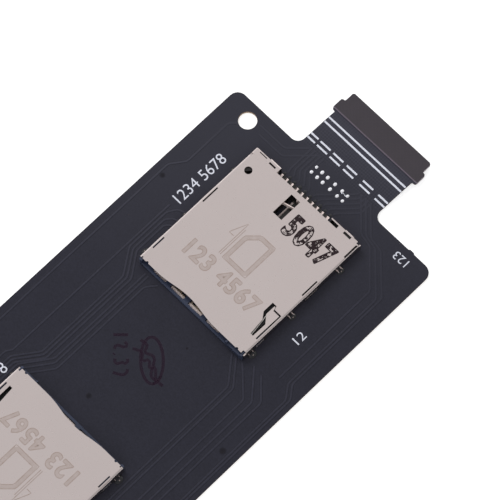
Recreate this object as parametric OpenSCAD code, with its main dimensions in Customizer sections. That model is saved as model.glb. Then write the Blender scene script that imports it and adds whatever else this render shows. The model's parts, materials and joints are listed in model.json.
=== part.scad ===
// Flexible circuit with two push-push card sockets and a board-to-board plug on its tab.
// Millimetres. Origin: centre of the locating hole, on the plane that the back of the board and
// the mating face of the plug rest on. +X across the board, +Y towards the tab, +Z up.

/* [Board] */
// Width of the board part
board_w = 28.5; // [26:0.5:34]
// Length of board beyond the rear edge of socket 2
end_margin = 3.85; // [1:0.05:8]
// Radius of the outer corners of the board
board_corner_r = 1.1; // [0.4:0.1:2]
// Thickness of the laminated film
flex_t = 0.12; // [0.08:0.01:0.2]
// Thickness of the stiffener bonded under the board part
stiffener_t = 0.25; // [0.15:0.05:0.4]
// How far the stiffener stays inside the outline of the film
stiffener_inset = 0.1; // [0.05:0.05:0.3]
// Diameter of the locating hole
hole_d = 2; // [1.2:0.1:2.4]
// Hole centre to the left edge of the board
hole_to_side = 3.3; // [2.6:0.1:4]
// Hole centre to the left-hand shoulder
hole_to_shoulder = 1.82; // [1.7:0.02:3]
// How much lower the right-hand shoulder lies
shoulder_drop = 0.2; // [0:0.05:0.5]
// Right edge of the board to the break-off nub on its shoulder
nub_inset = 3.1; // [2.5:0.1:5]

/* [Neck and tab] */
// Width of the flexible neck
neck_w = 11.15; // [9:0.05:11.3]
// Length of the neck from the left-hand shoulder to the tab
neck_l = 5.2; // [4:0.2:12]
// Hole centre to the middle of the neck
neck_x = 11.1; // [10:0.1:12]
// Radius where the neck runs into the shoulders
neck_fillet_r = 0.95; // [0.3:0.05:1.5]
// Sideways offset of the tab from the neck
tab_shift = 0.25; // [0:0.05:0.5]
// Width of the tab without its ears
tab_w = 11.2; // [11:0.1:12.5]
// How far each ear stands out
tab_ear = 0.43; // [0.3:0.01:0.8]
// Length of the ears
tab_ear_l = 1.52; // [1:0.02:2]
// Length of the tab
tab_l = 2.8; // [2.6:0.1:4]
// Corner radius of the tab
tab_r = 0.26; // [0.1:0.02:0.3]
// Thickness of the plate bonded on top of the tab
tab_plate_t = 0.2; // [0.1:0.05:0.4]
// Distance from the start of the tab to the edge of that plate
tab_plate_setback = 0.2; // [0.1:0.05:0.4]

/* [Plug] */
// Contacts in each of the two rows
plug_pins = 20; // [10:1:22]
// Contact pitch
plug_pitch = 0.4; // [0.35:0.01:0.42]
// Height of the plug under the tab
plug_h = 0.6; // [0.5:0.05:0.9]
// Width over the two long walls
plug_w = 1.74; // [1.6:0.02:1.9]
// Width of the pocket between the long walls
plug_pocket_w = 0.9; // [0.7:0.05:1]
// Housing beyond the last contact at each end
plug_end = 1; // [0.8:0.05:1.2]
// Thickness of the plug's formed contacts
plug_contact_t = 0.07; // [0.05:0.01:0.1]
// Width of one plug contact
plug_contact_w = 0.16; // [0.12:0.01:0.2]
// Length of the plug's solder feet
plug_foot = 0.36; // [0.25:0.01:0.45]

/* [Card] */
// Width of the card
card_w = 12; // [11.8:0.05:12.2]
// Length of the card
card_l = 15; // [14.8:0.05:15.1]
// Thickness of the card
card_t = 0.76; // [0.7:0.01:0.8]
// Clearance beside the card
card_fit = 0.05; // [0.03:0.01:0.1]
// How far a locked card stands out of the shell
card_out = 0.65; // [0.55:0.05:0.9]
// Pitch of the card's contact fields
field_pitch = 2.54; // [2.5:0.01:2.6]
// Trailing edge of the card to its first row of contact fields
field_row_1 = 2.65; // [2.5:0.05:2.8]
// Distance between the two rows of contact fields
field_rows = 7.62; // [7.5:0.02:7.8]

/* [Socket] */
// Width of the slider's lane beside the card
lane_w = 1.85; // [1.8:0.05:2.4]
// Height of the shell above the board
socket_h = 1.4; // [1.35:0.05:1.8]
// Thickness of the shell's sheet metal
sheet_t = 0.15; // [0.1:0.01:0.18]
// Outer bend radius of the shell
bend_r = 0.22; // [0.2:0.02:0.3]
// How far the base stands out in front of the shell
base_lip = 0.25; // [0.1:0.05:0.4]
// Hole centre to the middle of socket 1
socket_1_x = 10.68; // [10.5:0.02:11]
// Hole centre to the rear edge of socket 1
socket_1_y = -1.7; // [-3:0.05:-1.65]
// Hole centre to the middle of socket 2
socket_2_x = 10.58; // [10.4:0.02:11]
// Distance between the front edges of the two shells
mouth_gap = 16.75; // [12:0.25:24]
// Clearance between shell and base
shell_fit = 0.05; // [0.03:0.01:0.08]

/* [Mechanism] */
// Travel of the slider from ejected to locked
lock_travel = 3; // [2.6:0.1:3.05]
// Travel beyond the locked place that frees the cam
over_travel = 0.6; // [0.4:0.05:0.65]
// Diameter of the cam pin's wire
pin_d = 0.2; // [0.16:0.02:0.26]
// Clearance of the pin on each side of the cam groove
pin_clear = 0.07; // [0.04:0.01:0.08]
// Clearance round the slider
slider_clear = 0.06; // [0.04:0.01:0.08]
// Wire of the return spring
spring_wire = 0.13; // [0.1:0.01:0.16]
// Outer diameter of the return spring
spring_d = 0.9; // [0.8:0.02:0.92]
// Turns of the return spring
spring_turns = 13; // [8:1:18]

/* [Contacts] */
// Thickness of the contact strip
strip_t = 0.12; // [0.1:0.01:0.13]
// Width of the leads inside the base
lead_w = 0.2; // [0.16:0.01:0.24]
// Width of the solder tails
tail_w = 0.3; // [0.24:0.01:0.34]
// Pitch of the tails at the rear
tail_pitch = 0.73; // [0.7:0.01:0.78]
// How far the tails stand out behind the shell
tail_out = 0.05; // [0.05:0.05:0.5]
// Height of a contact's crown above the base's floor
crown_h = 0.25; // [0.15:0.01:0.3]

/* [Hidden] */
// Smoothness of arcs, waves and the spring
arc_steps = 6;
wave_steps = 20;
bend_steps = 14;
spring_sides = 6;
spring_steps = 12;
closed_share = 1.1;
round_fn = 24;
hole_fn = 64;

SOCKETS = [1, 2];
CONTACTS = 8;
SOCKET_PIECES = concat(
    ["shell", "base", "slider", "spring", "cam_pin", "switch_spring", "switch_post"],
    [for (k = [1:CONTACTS]) str("contact_", k)]
);

// Clearance between small fitted pieces, overlap of joined solids, and how far a cut runs on
gap = 0.03;
lap = 0.03;
past = 1;

// Card lane and slider lane across a socket, measured from its middle
rail_w = 0.27;
rib_w = 0.23;
lane_wall = 0.2;
base_w = rail_w + card_w + 2 * card_fit + rib_w + lane_w + lane_wall;
base_half = base_w / 2;
wall_in = base_half + shell_fit;
half = wall_in + sheet_t;
card_u0 = -base_half + rail_w;
card_u1 = card_u0 + card_w + 2 * card_fit;
card_mid = (card_u0 + card_u1) / 2;
lane_u0 = card_u1 + rib_w;
lane_u1 = lane_u0 + lane_w;
lane_mid = (lane_u0 + lane_u1) / 2;
slider_u0 = lane_u0 + slider_clear;
slider_u1 = lane_u1 - slider_clear;

// Lengths of a socket, measured forwards from the rear edge of its shell, so they are negative
comb_depth = 0.64;
base_back = 0.05;
rear_wall = 0.41;
arm_t = 0.8;
arm_clear = 0.44;
comb_v = -comb_depth;
comb_base_v = comb_v - base_back;
rear_base_v = -sheet_t - shell_fit - base_back;
rear_in_v = rear_base_v - rear_wall;
comb_in_v = comb_base_v - rear_wall;
front = rear_in_v - arm_clear - arm_t - over_travel - card_l + card_out;
base_front = front - base_lip;
socket_l = -front;

// Heights in a socket, measured from the top of the board
card_slack = 0.04;
lane_floor = 0.14;
slide_gap = 0.05;
pin_room = 0.24;
cam_depth = 0.33;
roof = socket_h - sheet_t;
base_top = roof - shell_fit;
floor_top = roof - card_t - card_fit - card_slack;
pin_z = base_top - pin_room;
block_top = pin_z - pin_d / 2 - slide_gap;
cam_floor = block_top - cam_depth;
slider_z0 = lane_floor + slide_gap;
slider_top = base_top - slide_gap;
spring_z = slider_z0 + spring_d / 2;

// Slider and cam
travel = lock_travel + over_travel;
pin_inset = 0.5;
pin_bend_share = 1.2;
block_gap = 0.45;
cam_before = 0.7;
cam_behind = 1.2;
cam_left = 0.25;
cam_right = 0.4;
cam_bend = 0.75;
seat_t = 0.4;
boss_l = 0.8;
boss_clear = 0.1;
spring_side = 0.1;
arm_reach = 1.35;
nick = 0.12;
pin_pivot = front + pin_inset;
block_front = pin_pivot + block_gap;
pin_tip = block_front + cam_before + travel;
seat = pin_tip + cam_behind;
stop = front - card_out + card_l - lock_travel;
cam_in = lane_mid - cam_left;
cam_out = lane_mid + cam_right;
cam_w = pin_d + 2 * pin_clear;
spring_u = slider_u1 - spring_side - spring_d / 2;
rail_u1 = spring_u - spring_d / 2 - spring_side;
boss_d = spring_d - 2 * spring_wire - 2 * boss_clear;
arm_u = slider_u0 - arm_reach;

// Tails and the comb they come out of
tails = 10;
tail_shift = 0.49;
comb_left = 0.27;
comb_right = 0.66;
comb_rib_h = 0.45;
comb_rib_out = 0;
tail_mid = card_mid + tail_shift;
comb_u0 = tail_mid - (tails - 1) / 2 * tail_pitch - comb_left;
comb_u1 = tail_mid + (tails - 1) / 2 * tail_pitch + comb_right;
function tail_u(i) = tail_mid + (i - (tails - 1) / 2) * tail_pitch;

// Contacts. Row 1 lies near the mouth and row 2 near the rear
row_1 = front - card_out + field_row_1;
row_2 = row_1 + field_rows;
front_bar = 0.3;
window_half_1 = 0.95;
window_half_2 = 0.68;
window_l_2 = 3.4;
tip_room = 1.1;
root_side = 0.05;
root_l = 0.35;
per_row = 4;
beam_half = 0.3;
beam_t = 0.1;
beam_flat = 0.25;
crown_half = 0.14;
tip_l = 0.38;
tip_drop = 0.12;
lead_lap = 0.1;
lead_side_1 = 0.75;
lead_side_2 = 0.5;
jog_start = 0.25;
jog_l = 0.7;
fan_start = 1.33;
fan_l = 2;

// Card switch behind the leading edge of a locked card
switch_t = 0.08;
switch_gap = 0.08;
switch_riser = 0.14;
switch_behind = 0.3;
post_behind = 0.12;
switch_root = 0.25;
switch_reach = 1.3;
switch_sweep = 1.2;
switch_tip = 0.35;
switch_hook = 0.15;
post_reach = 2.4;
post_hook = 0.2;
switch_z0 = floor_top + switch_gap;
switch_z1 = base_top - switch_gap;
switch_spring_tail = tails - 1;
switch_post_tail = tails - 2;
switch_v = comb_in_v - switch_behind;
post_v = comb_in_v - post_behind;

// Leaf of the shell that holds the cam pin down: root towards the mouth, head over the pin's tip
leaf_front = 2.1;
leaf_over = 0.2;
leaf_edge = 0.87;
leaf_neck = 0.38;
leaf_finger = 0.45;
leaf_head = 1.1;
leaf_cut = 0.14;
leaf_head_l = 0.75;
leaf_taper = 0.85;
leaf_slot = 0.18;
leaf_gap = 0.02;
leaf_root = front + leaf_front;
leaf_tip = pin_tip + leaf_over;
leaf_u1 = lane_mid + leaf_edge;
leaf_drop = roof - pin_z - pin_d / 2 - leaf_gap;

// Openings of the shell
view_tail = 4;
view_left = 0.3;
view_w = 1.23;
view_l = 2.71;
view_rear = 1.25;
view_hole_d = 0.85;
view_hole_in = 0.75;
view_hole_rear = 2.52;
recess_d = 0.43;
recess_half = 4.1;
recess_flat = 0.1;
recess_shift = 0.2;
latch_rear = 6.2;
latch_rear_l = 1.9;
latch_front = 1.65;
latch_front_l = 1.35;
latch_z0 = 0.3;
latch_z1 = 0.85;
latch_bump = 0.14;
latch_ends = 0.1;
slot_w = 0.16;
slot_in = 0.2;
slot_over = 0.12;
edge_step = 0.1;
notch_d = 0.3;
notch_l = 0.37;
notch_rear = 0.85;
corner_l = 0.35;
corner_w = 0.42;
relief_w = 0.14;
side_slot_w = 0.24;
side_slot_l = 1.8;
side_slot_rear = 0.5;
hook_in = 0.26;
rear_bulge = 0.12;
bulge_at = 0.58;
hook_end = 0.82;
hook_back = 0.07;
tongue_from = 0.47;
tongue_to = 0.74;
foot_l = 0.6;
foot_out = 0.25;
foot_rear = 3.25;
foot_middle = 10.2;
foot_front = 0.95;
foot_edge = 0.05;
rear_slots = [
    [-half, comb_u0, 0.19, 0.48, 0.2, 0.1],
    [-half, comb_u0, 0.62, 0.88, 0.3, 0.2],
    [comb_u1, half, tongue_from, 0.71, 0.25, 0.28]
];
latches = [
    [-latch_rear - latch_rear_l, -latch_rear],
    [front + latch_front, front + latch_front + latch_front_l]
];

// Base details: block for the card's cut corner, lead-in and round corners
cut_corner = 2.6;
cut_gap = 0.25;
lead_in = 0.14;
base_r = 0.15;
hook_room = 1.1;
hook_floor = 0.5;
lip_side = 0.1;

// Places of the sockets and the board round them
board_t = stiffener_t + flex_t;
board_x0 = -hole_to_side;
board_x1 = board_x0 + board_w;
shoulder_l = hole_to_shoulder;
shoulder_r = hole_to_shoulder - shoulder_drop;
mouth_1_y = socket_1_y - socket_l;
mouth_2_y = mouth_1_y - mouth_gap;
socket_2_y = mouth_2_y - socket_l;
board_y0 = socket_2_y - end_margin;
nub_x = board_x1 - nub_inset;
nub_w = 0.5;
nub_h = 0.12;
nub_r = 0.1;
nub_slope = 0.15;

// Tab and neck. The neck rises so that the plug and the board rest on one plane
bend_from_shoulder = 0.6;
bend_to_tab = 0.4;
tab_x = neck_x + tab_shift;
tab_y0 = shoulder_l + neck_l;
tab_y1 = tab_y0 + tab_ear_l;
tab_y2 = tab_y0 + tab_l;
tab_z = plug_h;
lift = tab_z - stiffener_t;
bend_y0 = shoulder_l + bend_from_shoulder;
bend_y1 = tab_y0 - bend_to_tab;
ear_step = tab_ear + (tab_w - neck_w) / 2;
ear_root_round = 0.3;
ear_end_round = 0.35;

// Plug under the tab
plug_pocket_end = 0.4;
plug_roof = 0.15;
plug_tip_gap = 0.06;
nail_share = 0.3;
nail_end = 0.25;
plug_y = (tab_y0 + tab_y2) / 2;
plug_l = (plug_pins - 1) * plug_pitch + 2 * plug_end;
plug_pocket_l = (plug_pins - 1) * plug_pitch + 2 * plug_pocket_end;
plug_pocket_h = plug_h - plug_roof;

function unit(v) = v / norm(v);
function backwards(list) = [for (i = [len(list) - 1:-1:0]) list[i]];
function between(a, b, share) = a + (b - a) * share;

// Smooth rise from 0 to 1
function wave(s) = (1 - cos(180 * max(0, min(1, s)))) / 2;

// Arc that rounds corner q, which holds its own radius, between its neighbours p and s
function corner(p, q, s) =
    let (
        r = q[2],
        c = [q[0], q[1]],
        a = unit([p[0], p[1]] - c),
        b = unit([s[0], s[1]] - c)
    )
    r <= 0 ? [c] : let (
        half_angle = acos(a * b) / 2,
        centre = c + unit(a + b) * r / sin(half_angle),
        e0 = c + a * r / tan(half_angle) - centre,
        e1 = c + b * r / tan(half_angle) - centre,
        a0 = atan2(e0[1], e0[0]),
        d = atan2(e1[1], e1[0]) - a0,
        turn = d > 180 ? d - 360 : d < -180 ? d + 360 : d
    )
    [for (k = [0:arc_steps]) centre + r * [cos(a0 + turn * k / arc_steps), sin(a0 + turn * k / arc_steps)]];

// Closed outline through corners of the form [x, y, radius]
function rounded(c) = [
    for (i = [0:len(c) - 1]) each corner(c[(i + len(c) - 1) % len(c)], c[i], c[(i + 1) % len(c)])
];

// Sideways step at point i of a path, longer at a bend so that the strip keeps its width
function side_step(p, i) =
    let (
        a = unit(i > 0 ? p[i] - p[i - 1] : p[1] - p[0]),
        b = unit(i < len(p) - 1 ? p[i + 1] - p[i] : p[i] - p[i - 1]),
        m = unit(a + b),
        n = [-m[1], m[0]]
    )
    n / (n * [-a[1], a[0]]);

// Outline of a strip of width w along a path
function strip(p, w) = concat(
    [for (i = [0:len(p) - 1]) p[i] + side_step(p, i) * w / 2],
    [for (i = [len(p) - 1:-1:0]) p[i] - side_step(p, i) * w / 2]
);

// Box given by its lowest corner and its highest corner
module block(a, b) {
    translate(a) cube(b - a);
}

// The same with the sides in X given in any order, for pieces that come in mirrored pairs
module side_block(u, v, z) {
    block([min(u), v[0], z[0]], [max(u), v[1], z[1]]);
}

// Profile in the Y-Z plane, drawn out along X from x0 to x1
module along_x(x0, x1) {
    translate([x0, 0, 0]) rotate([90, 0, 90]) linear_extrude(x1 - x0) children();
}

// Profile in the X-Z plane, drawn out along Y from y0 to y1
module along_y(y0, y1) {
    translate([0, y1, 0]) rotate([90, 0, 0]) linear_extrude(y1 - y0) children();
}

// Corners of the board part, pulled in by inset
function board_corners(inset) = [
    [board_x0 + inset, shoulder_l - inset, board_corner_r],
    [board_x0 + inset, board_y0 + inset, board_corner_r],
    [board_x1 - inset, board_y0 + inset, board_corner_r],
    [board_x1 - inset, shoulder_r - inset, board_corner_r]
];

// Break-off nub on the right-hand shoulder
nub = [
    [nub_x + nub_w / 2 + nub_slope, shoulder_r, nub_r],
    [nub_x + nub_w / 2, shoulder_r + nub_h, nub_r],
    [nub_x - nub_w / 2, shoulder_r + nub_h, nub_r],
    [nub_x - nub_w / 2 - nub_slope, shoulder_r, nub_r]
];

// One side of the neck and tab, s = 1 on the right and -1 on the left, from the shoulder out
function tab_side(s, shoulder) = [
    [neck_x + s * neck_w / 2, shoulder, neck_fillet_r],
    [tab_x + s * neck_w / 2, tab_y0, ear_step * ear_root_round],
    [tab_x + s * (tab_w / 2 + tab_ear), tab_y0, tab_r],
    [tab_x + s * (tab_w / 2 + tab_ear), tab_y1, tab_r],
    [tab_x + s * tab_w / 2, tab_y1, tab_ear * ear_end_round],
    [tab_x + s * tab_w / 2, tab_y2, tab_r]
];
flex_outline = rounded(concat(
    board_corners(0), nub, tab_side(1, shoulder_r), backwards(tab_side(-1, shoulder_l))
));

// Underside of the film: flat on the board, then one smooth rise along the neck
function film_z(y) = stiffener_t + lift * wave((y - bend_y0) / (bend_y1 - bend_y0));
film_path = concat(
    [board_y0 - past],
    [for (k = [0:bend_steps]) between(bend_y0, bend_y1, k / bend_steps)],
    [tab_y2 + past]
);

module locating_hole() {
    translate([0, 0, -past]) cylinder(d = hole_d, h = board_t + 2 * past, $fn = hole_fn);
}

// One film: board part, neck and tab
module flex_circuit() {
    color([0.2, 0.2, 0.23])
        difference() {
            intersection() {
                linear_extrude(tab_z + board_t) polygon(flex_outline);
                along_x(board_x0 - past, board_x1 + past) polygon(concat(
                    [for (y = film_path) [y, film_z(y)]],
                    backwards([for (y = film_path) [y, film_z(y) + flex_t]])
                ));
            }
            locating_hole();
        }
}

module board_stiffener() {
    color([0.34, 0.27, 0.17])
        difference() {
            linear_extrude(stiffener_t) polygon(rounded(board_corners(stiffener_inset)));
            locating_hole();
        }
}

// Plate on top of the tab, with the outline of the tab and a straight edge towards the neck
module tab_stiffener() {
    top = tab_z + flex_t + tab_plate_t;
    color([0.3, 0.28, 0.29])
        intersection() {
            translate([0, 0, tab_z + flex_t]) linear_extrude(tab_plate_t) polygon(flex_outline);
            block([board_x0, tab_y0 + tab_plate_setback, 0], [board_x1, tab_y2 + past, top + past]);
        }
}

module at_plug() {
    translate([tab_x, plug_y, 0]) children();
}

// Low housing under the tab: two long walls, a pocket between them and solid ends
module plug_housing() {
    color([0.12, 0.12, 0.12])
        at_plug() difference() {
            block([-plug_l / 2, -plug_w / 2, 0], [plug_l / 2, plug_w / 2, plug_h]);
            block(
                [-plug_pocket_l / 2, -plug_pocket_w / 2, -past],
                [plug_pocket_l / 2, plug_pocket_w / 2, plug_pocket_h]
            );
            // The contacts lie in the tops of the walls
            for (turn = [0, 180]) rotate([0, 0, turn]) block(
                [-plug_pocket_l / 2, plug_pocket_w / 2 - gap, -past],
                [plug_pocket_l / 2, plug_w / 2 + past, plug_contact_t]
            );
        }
}

// Profile of one plug contact: solder foot, outer leg, crown over the wall, inner leg
module plug_contact_profile() {
    t = plug_contact_t;
    outer = plug_w / 2 + t / 2;
    inner = plug_pocket_w / 2 - t / 2;
    polygon(strip([
        [outer + plug_foot, plug_h - t / 2],
        [outer, plug_h - t / 2],
        [outer, t / 2],
        [inner, t / 2],
        [inner, plug_pocket_h - plug_tip_gap]
    ], t));
}

module plug_contacts() {
    color([0.85, 0.7, 0.35])
        at_plug() for (turn = [0, 180]) rotate([0, 0, turn])
            for (i = [0:plug_pins - 1]) {
                x = (i - (plug_pins - 1) / 2) * plug_pitch;
                along_x(x - plug_contact_w / 2, x + plug_contact_w / 2) plug_contact_profile();
            }
}

// Sheet-metal nail at each end of the plug
module plug_hold_downs() {
    t = plug_contact_t;
    nail_half = plug_w * nail_share;
    color([0.75, 0.74, 0.72])
        at_plug() for (turn = [0, 180]) rotate([0, 0, turn])
            along_y(-nail_half, nail_half) polygon(strip([
                [plug_l / 2 + t / 2, plug_h * nail_end],
                [plug_l / 2 + t / 2, plug_h - t / 2],
                [plug_l / 2 + plug_foot, plug_h - t / 2]
            ], t));
}

// Puts a socket's piece in place: socket 2 faces socket 1
module at_socket(s) {
    if (s == 1) translate([socket_1_x, socket_1_y, board_t]) children();
    else translate([socket_2_x, socket_2_y, board_t]) rotate([0, 0, 180]) children();
}

// Shallow recess for a fingertip in the front edge of the shell
module finger_recess() {
    mid = card_mid + recess_shift;
    ramp = recess_half - recess_flat;
    translate([0, 0, roof - past]) linear_extrude(sheet_t + 2 * past) polygon(concat(
        [
            for (k = [0:wave_steps])
            let (du = recess_half * (2 * k / wave_steps - 1))
            [mid + du, front + recess_d * wave((recess_half - abs(du)) / ramp)]
        ],
        [[mid + recess_half, front - past], [mid - recess_half, front - past]]
    ));
}

// Outline of the leaf, with a narrow finger at the corner of its head
leaf_u0 = leaf_u1 - leaf_head;
leaf_shape = [
    [leaf_u1, leaf_root - slide_gap],
    [leaf_u1, leaf_tip],
    [leaf_u0 + 2 * leaf_cut, leaf_tip],
    [leaf_u0 + leaf_cut, leaf_tip + leaf_finger],
    [leaf_u0, leaf_tip + leaf_finger],
    [leaf_u0, leaf_tip - leaf_head_l],
    [leaf_u1 - leaf_neck, leaf_tip - leaf_head_l - leaf_taper],
    [leaf_u1 - leaf_neck, leaf_root - slide_gap]
];
leaf_opening = [
    [leaf_u1 + leaf_slot, leaf_root],
    [leaf_u1 + leaf_slot, leaf_tip + leaf_cut],
    [leaf_u0 + leaf_slot + leaf_cut, leaf_tip + leaf_cut],
    [leaf_u0 + leaf_slot, leaf_tip + 3 * leaf_slot],
    [leaf_u0 - 2 * leaf_slot, leaf_tip + 3 * leaf_slot],
    [leaf_u0 - 2 * leaf_slot, leaf_tip - leaf_head_l],
    [leaf_u1 - leaf_neck - 3 * leaf_slot, leaf_tip - leaf_head_l - leaf_taper + leaf_cut],
    [leaf_u1 - leaf_neck - 2 * leaf_slot, leaf_root]
];

// The leaf is bent down from its root until its head lies on the pin
module leaf() {
    angle = asin(leaf_drop / (leaf_tip - leaf_root));
    translate([0, leaf_root, roof])
        rotate([-angle, 0, 0])
            translate([0, -leaf_root, 0])
                linear_extrude(sheet_t) polygon(leaf_shape);
}

// Cut through the top sheet
module top_cut(a, b) {
    block([a[0], a[1], roof - 2 * lap], [b[0], b[1], socket_h + past]);
}

module shell_openings() {
    finger_recess();
    top_cut([comb_u0, comb_v], [comb_u1, past]);
    top_cut([card_mid - view_left, -view_rear - view_l], [card_mid - view_left + view_w, -view_rear]);
    translate([card_u0 + view_hole_in, -view_hole_rear, roof - past])
        cylinder(d = view_hole_d, h = sheet_t + 2 * past, $fn = round_fn);
    translate([0, 0, roof - lap]) linear_extrude(sheet_t + past) polygon(leaf_opening);
    for (s = [-1, 1]) {
        // Windows in the side walls for the bumps of the base
        for (l = latches)
            side_block([s * (wall_in - gap), s * (half + past)], l, [latch_z0, latch_z1]);
        latch_slot(s, latches[0]);
    }
    latch_slot(-1, latches[1]);
    // Slot and cut corner over the spring, cut corner at the mouth
    top_cut(
        [wall_in - side_slot_w / 2 - lap, -side_slot_rear - side_slot_l],
        [wall_in + side_slot_w / 2 - 2 * lap, -side_slot_rear]
    );
    side_block([half - corner_w, half + past], [-corner_l, past], [roof - sheet_t, socket_h + past]);
    side_block(
        [half - corner_w, half + past],
        [front - past, front + corner_l],
        [roof - sheet_t, socket_h + past]
    );
    // Relief beside the left-hand wall at the rear and at the mouth
    side_block(
        [-half - past, -wall_in + edge_step],
        [-notch_rear - notch_l, -notch_rear],
        [roof - sheet_t, socket_h + past]
    );
    top_cut([-wall_in + edge_step, front - past], [-wall_in + edge_step + relief_w, front + relief_w + lap]);
    for (u = [card_u0 + 2 * notch_d, lane_mid + notch_d])
        translate([u, front, roof - past]) cylinder(d = notch_d, h = sheet_t + 2 * past, $fn = round_fn);
    // Slots along the rear edge, placed as shares of the stretch beside the tails
    for (slot = rear_slots)
        top_cut(
            [between(slot[0], slot[1], slot[2]), -slot[4] - slot[5]],
            [between(slot[0], slot[1], slot[3]), -slot[4]]
        );
    top_cut([comb_u1 - lap, comb_v], [comb_u1 + hook_room, -hook_in]);
}

// Slot beside a latching stretch of a side wall, and the small step of the bend outside it
module latch_slot(s, l) {
    inner = wall_in - slot_in;
    side_block(
        [s * (inner - slot_w / 2), s * (inner + slot_w / 2)],
        [l[0] - slot_over, l[1] + slot_over],
        [roof - sheet_t, socket_h + past]
    );
    side_block(
        [s * (half - edge_step), s * (half + past)],
        [l[0] - slot_over, l[1] + slot_over],
        [roof, socket_h + past]
    );
}

// Part of the top sheet folded down behind the base, set back or out by shift
module rear_fold(u0, u1, shift) {
    along_x(u0, u1) polygon(rounded([
        [comb_v, roof, 0],
        [shift - sheet_t, roof, 0],
        [shift - sheet_t, foot_edge, 0],
        [shift, foot_edge, 0],
        [shift, socket_h, bend_r],
        [comb_v, socket_h, 0]
    ]));
}

// Folded steel cover: flat top, two side walls, folded rear corners and solder feet
module shell() {
    bulge_u = between(-half, comb_u0, bulge_at);
    color([0.72, 0.69, 0.68]) {
        difference() {
            union() {
                along_y(front, -bend_r / 2) polygon(rounded([
                    [-half, foot_edge, 0],
                    [-half, socket_h, bend_r],
                    [half, socket_h, bend_r],
                    [half, foot_edge, 0],
                    [wall_in, foot_edge, 0],
                    [wall_in, roof, 0],
                    [-wall_in, roof, 0],
                    [-wall_in, foot_edge, 0]
                ]));
                rear_fold(-half + sheet_t, bulge_u + lap, 0);
                rear_fold(bulge_u, comb_u0, rear_bulge);
                rear_fold(comb_u1, between(comb_u1, half, hook_end), -hook_back);
                rear_fold(between(comb_u1, half, tongue_from), between(comb_u1, half, tongue_to), lap);
            }
            shell_openings();
        }
        leaf();
        for (s = [-1, 1], v = [-foot_rear, -foot_middle, front + foot_front])
            side_block([s * wall_in, s * (half + foot_out)], [v - foot_l / 2, v + foot_l / 2], [0, sheet_t]);
    }
}

// Where contact k meets the card, and the middle line of its lead from the root to the tail
function field_u(k) = card_mid + ((k - 1) % per_row - (per_row - 1) / 2) * field_pitch;
function window_of(k) = k <= per_row
    ? [window_half_1, base_front + front_bar, row_1 + tip_room]
    : [window_half_2, row_2 + tip_room - window_l_2, row_2 + tip_room];
function root_of(k) =
    let (w = window_of(k))
    [w[0] - root_side, w[1] + root_side, w[1] + root_side + root_l];
function lead_path(k) =
    let (u = field_u(k), i = (k - 1) % per_row, root_end = root_of(k)[2] - lead_lap)
    k <= per_row
    ? [
        [u - lead_side_1, root_end],
        [u - lead_side_1, row_1 + jog_start],
        [u - field_pitch / 2, row_1 + jog_start + jog_l],
        [u - field_pitch / 2, row_2 + fan_start],
        [tail_u(2 * i), row_2 + fan_start + fan_l],
        [tail_u(2 * i), tail_out]
    ]
    : [
        [u + lead_side_2, root_end],
        [u + lead_side_2, row_2 + fan_start],
        [tail_u(2 * i + 1), row_2 + fan_start + fan_l],
        [tail_u(2 * i + 1), tail_out]
    ];
switch_leads = [
    [tail_u(switch_spring_tail), switch_v - switch_t / 2],
    [tail_u(switch_post_tail), post_v - switch_t / 2]
];

// Solder tail i, from inside the rear wall outwards
module tail(i) {
    translate([tail_u(i) - tail_w / 2, comb_base_v]) square([tail_w, tail_out - comb_base_v]);
}

// Channel for a lead in the underside of the base
module lead_channel(path) {
    translate([0, 0, -past]) linear_extrude(past + strip_t + gap) polygon(strip(path, lead_w + 2 * gap));
}

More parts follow.
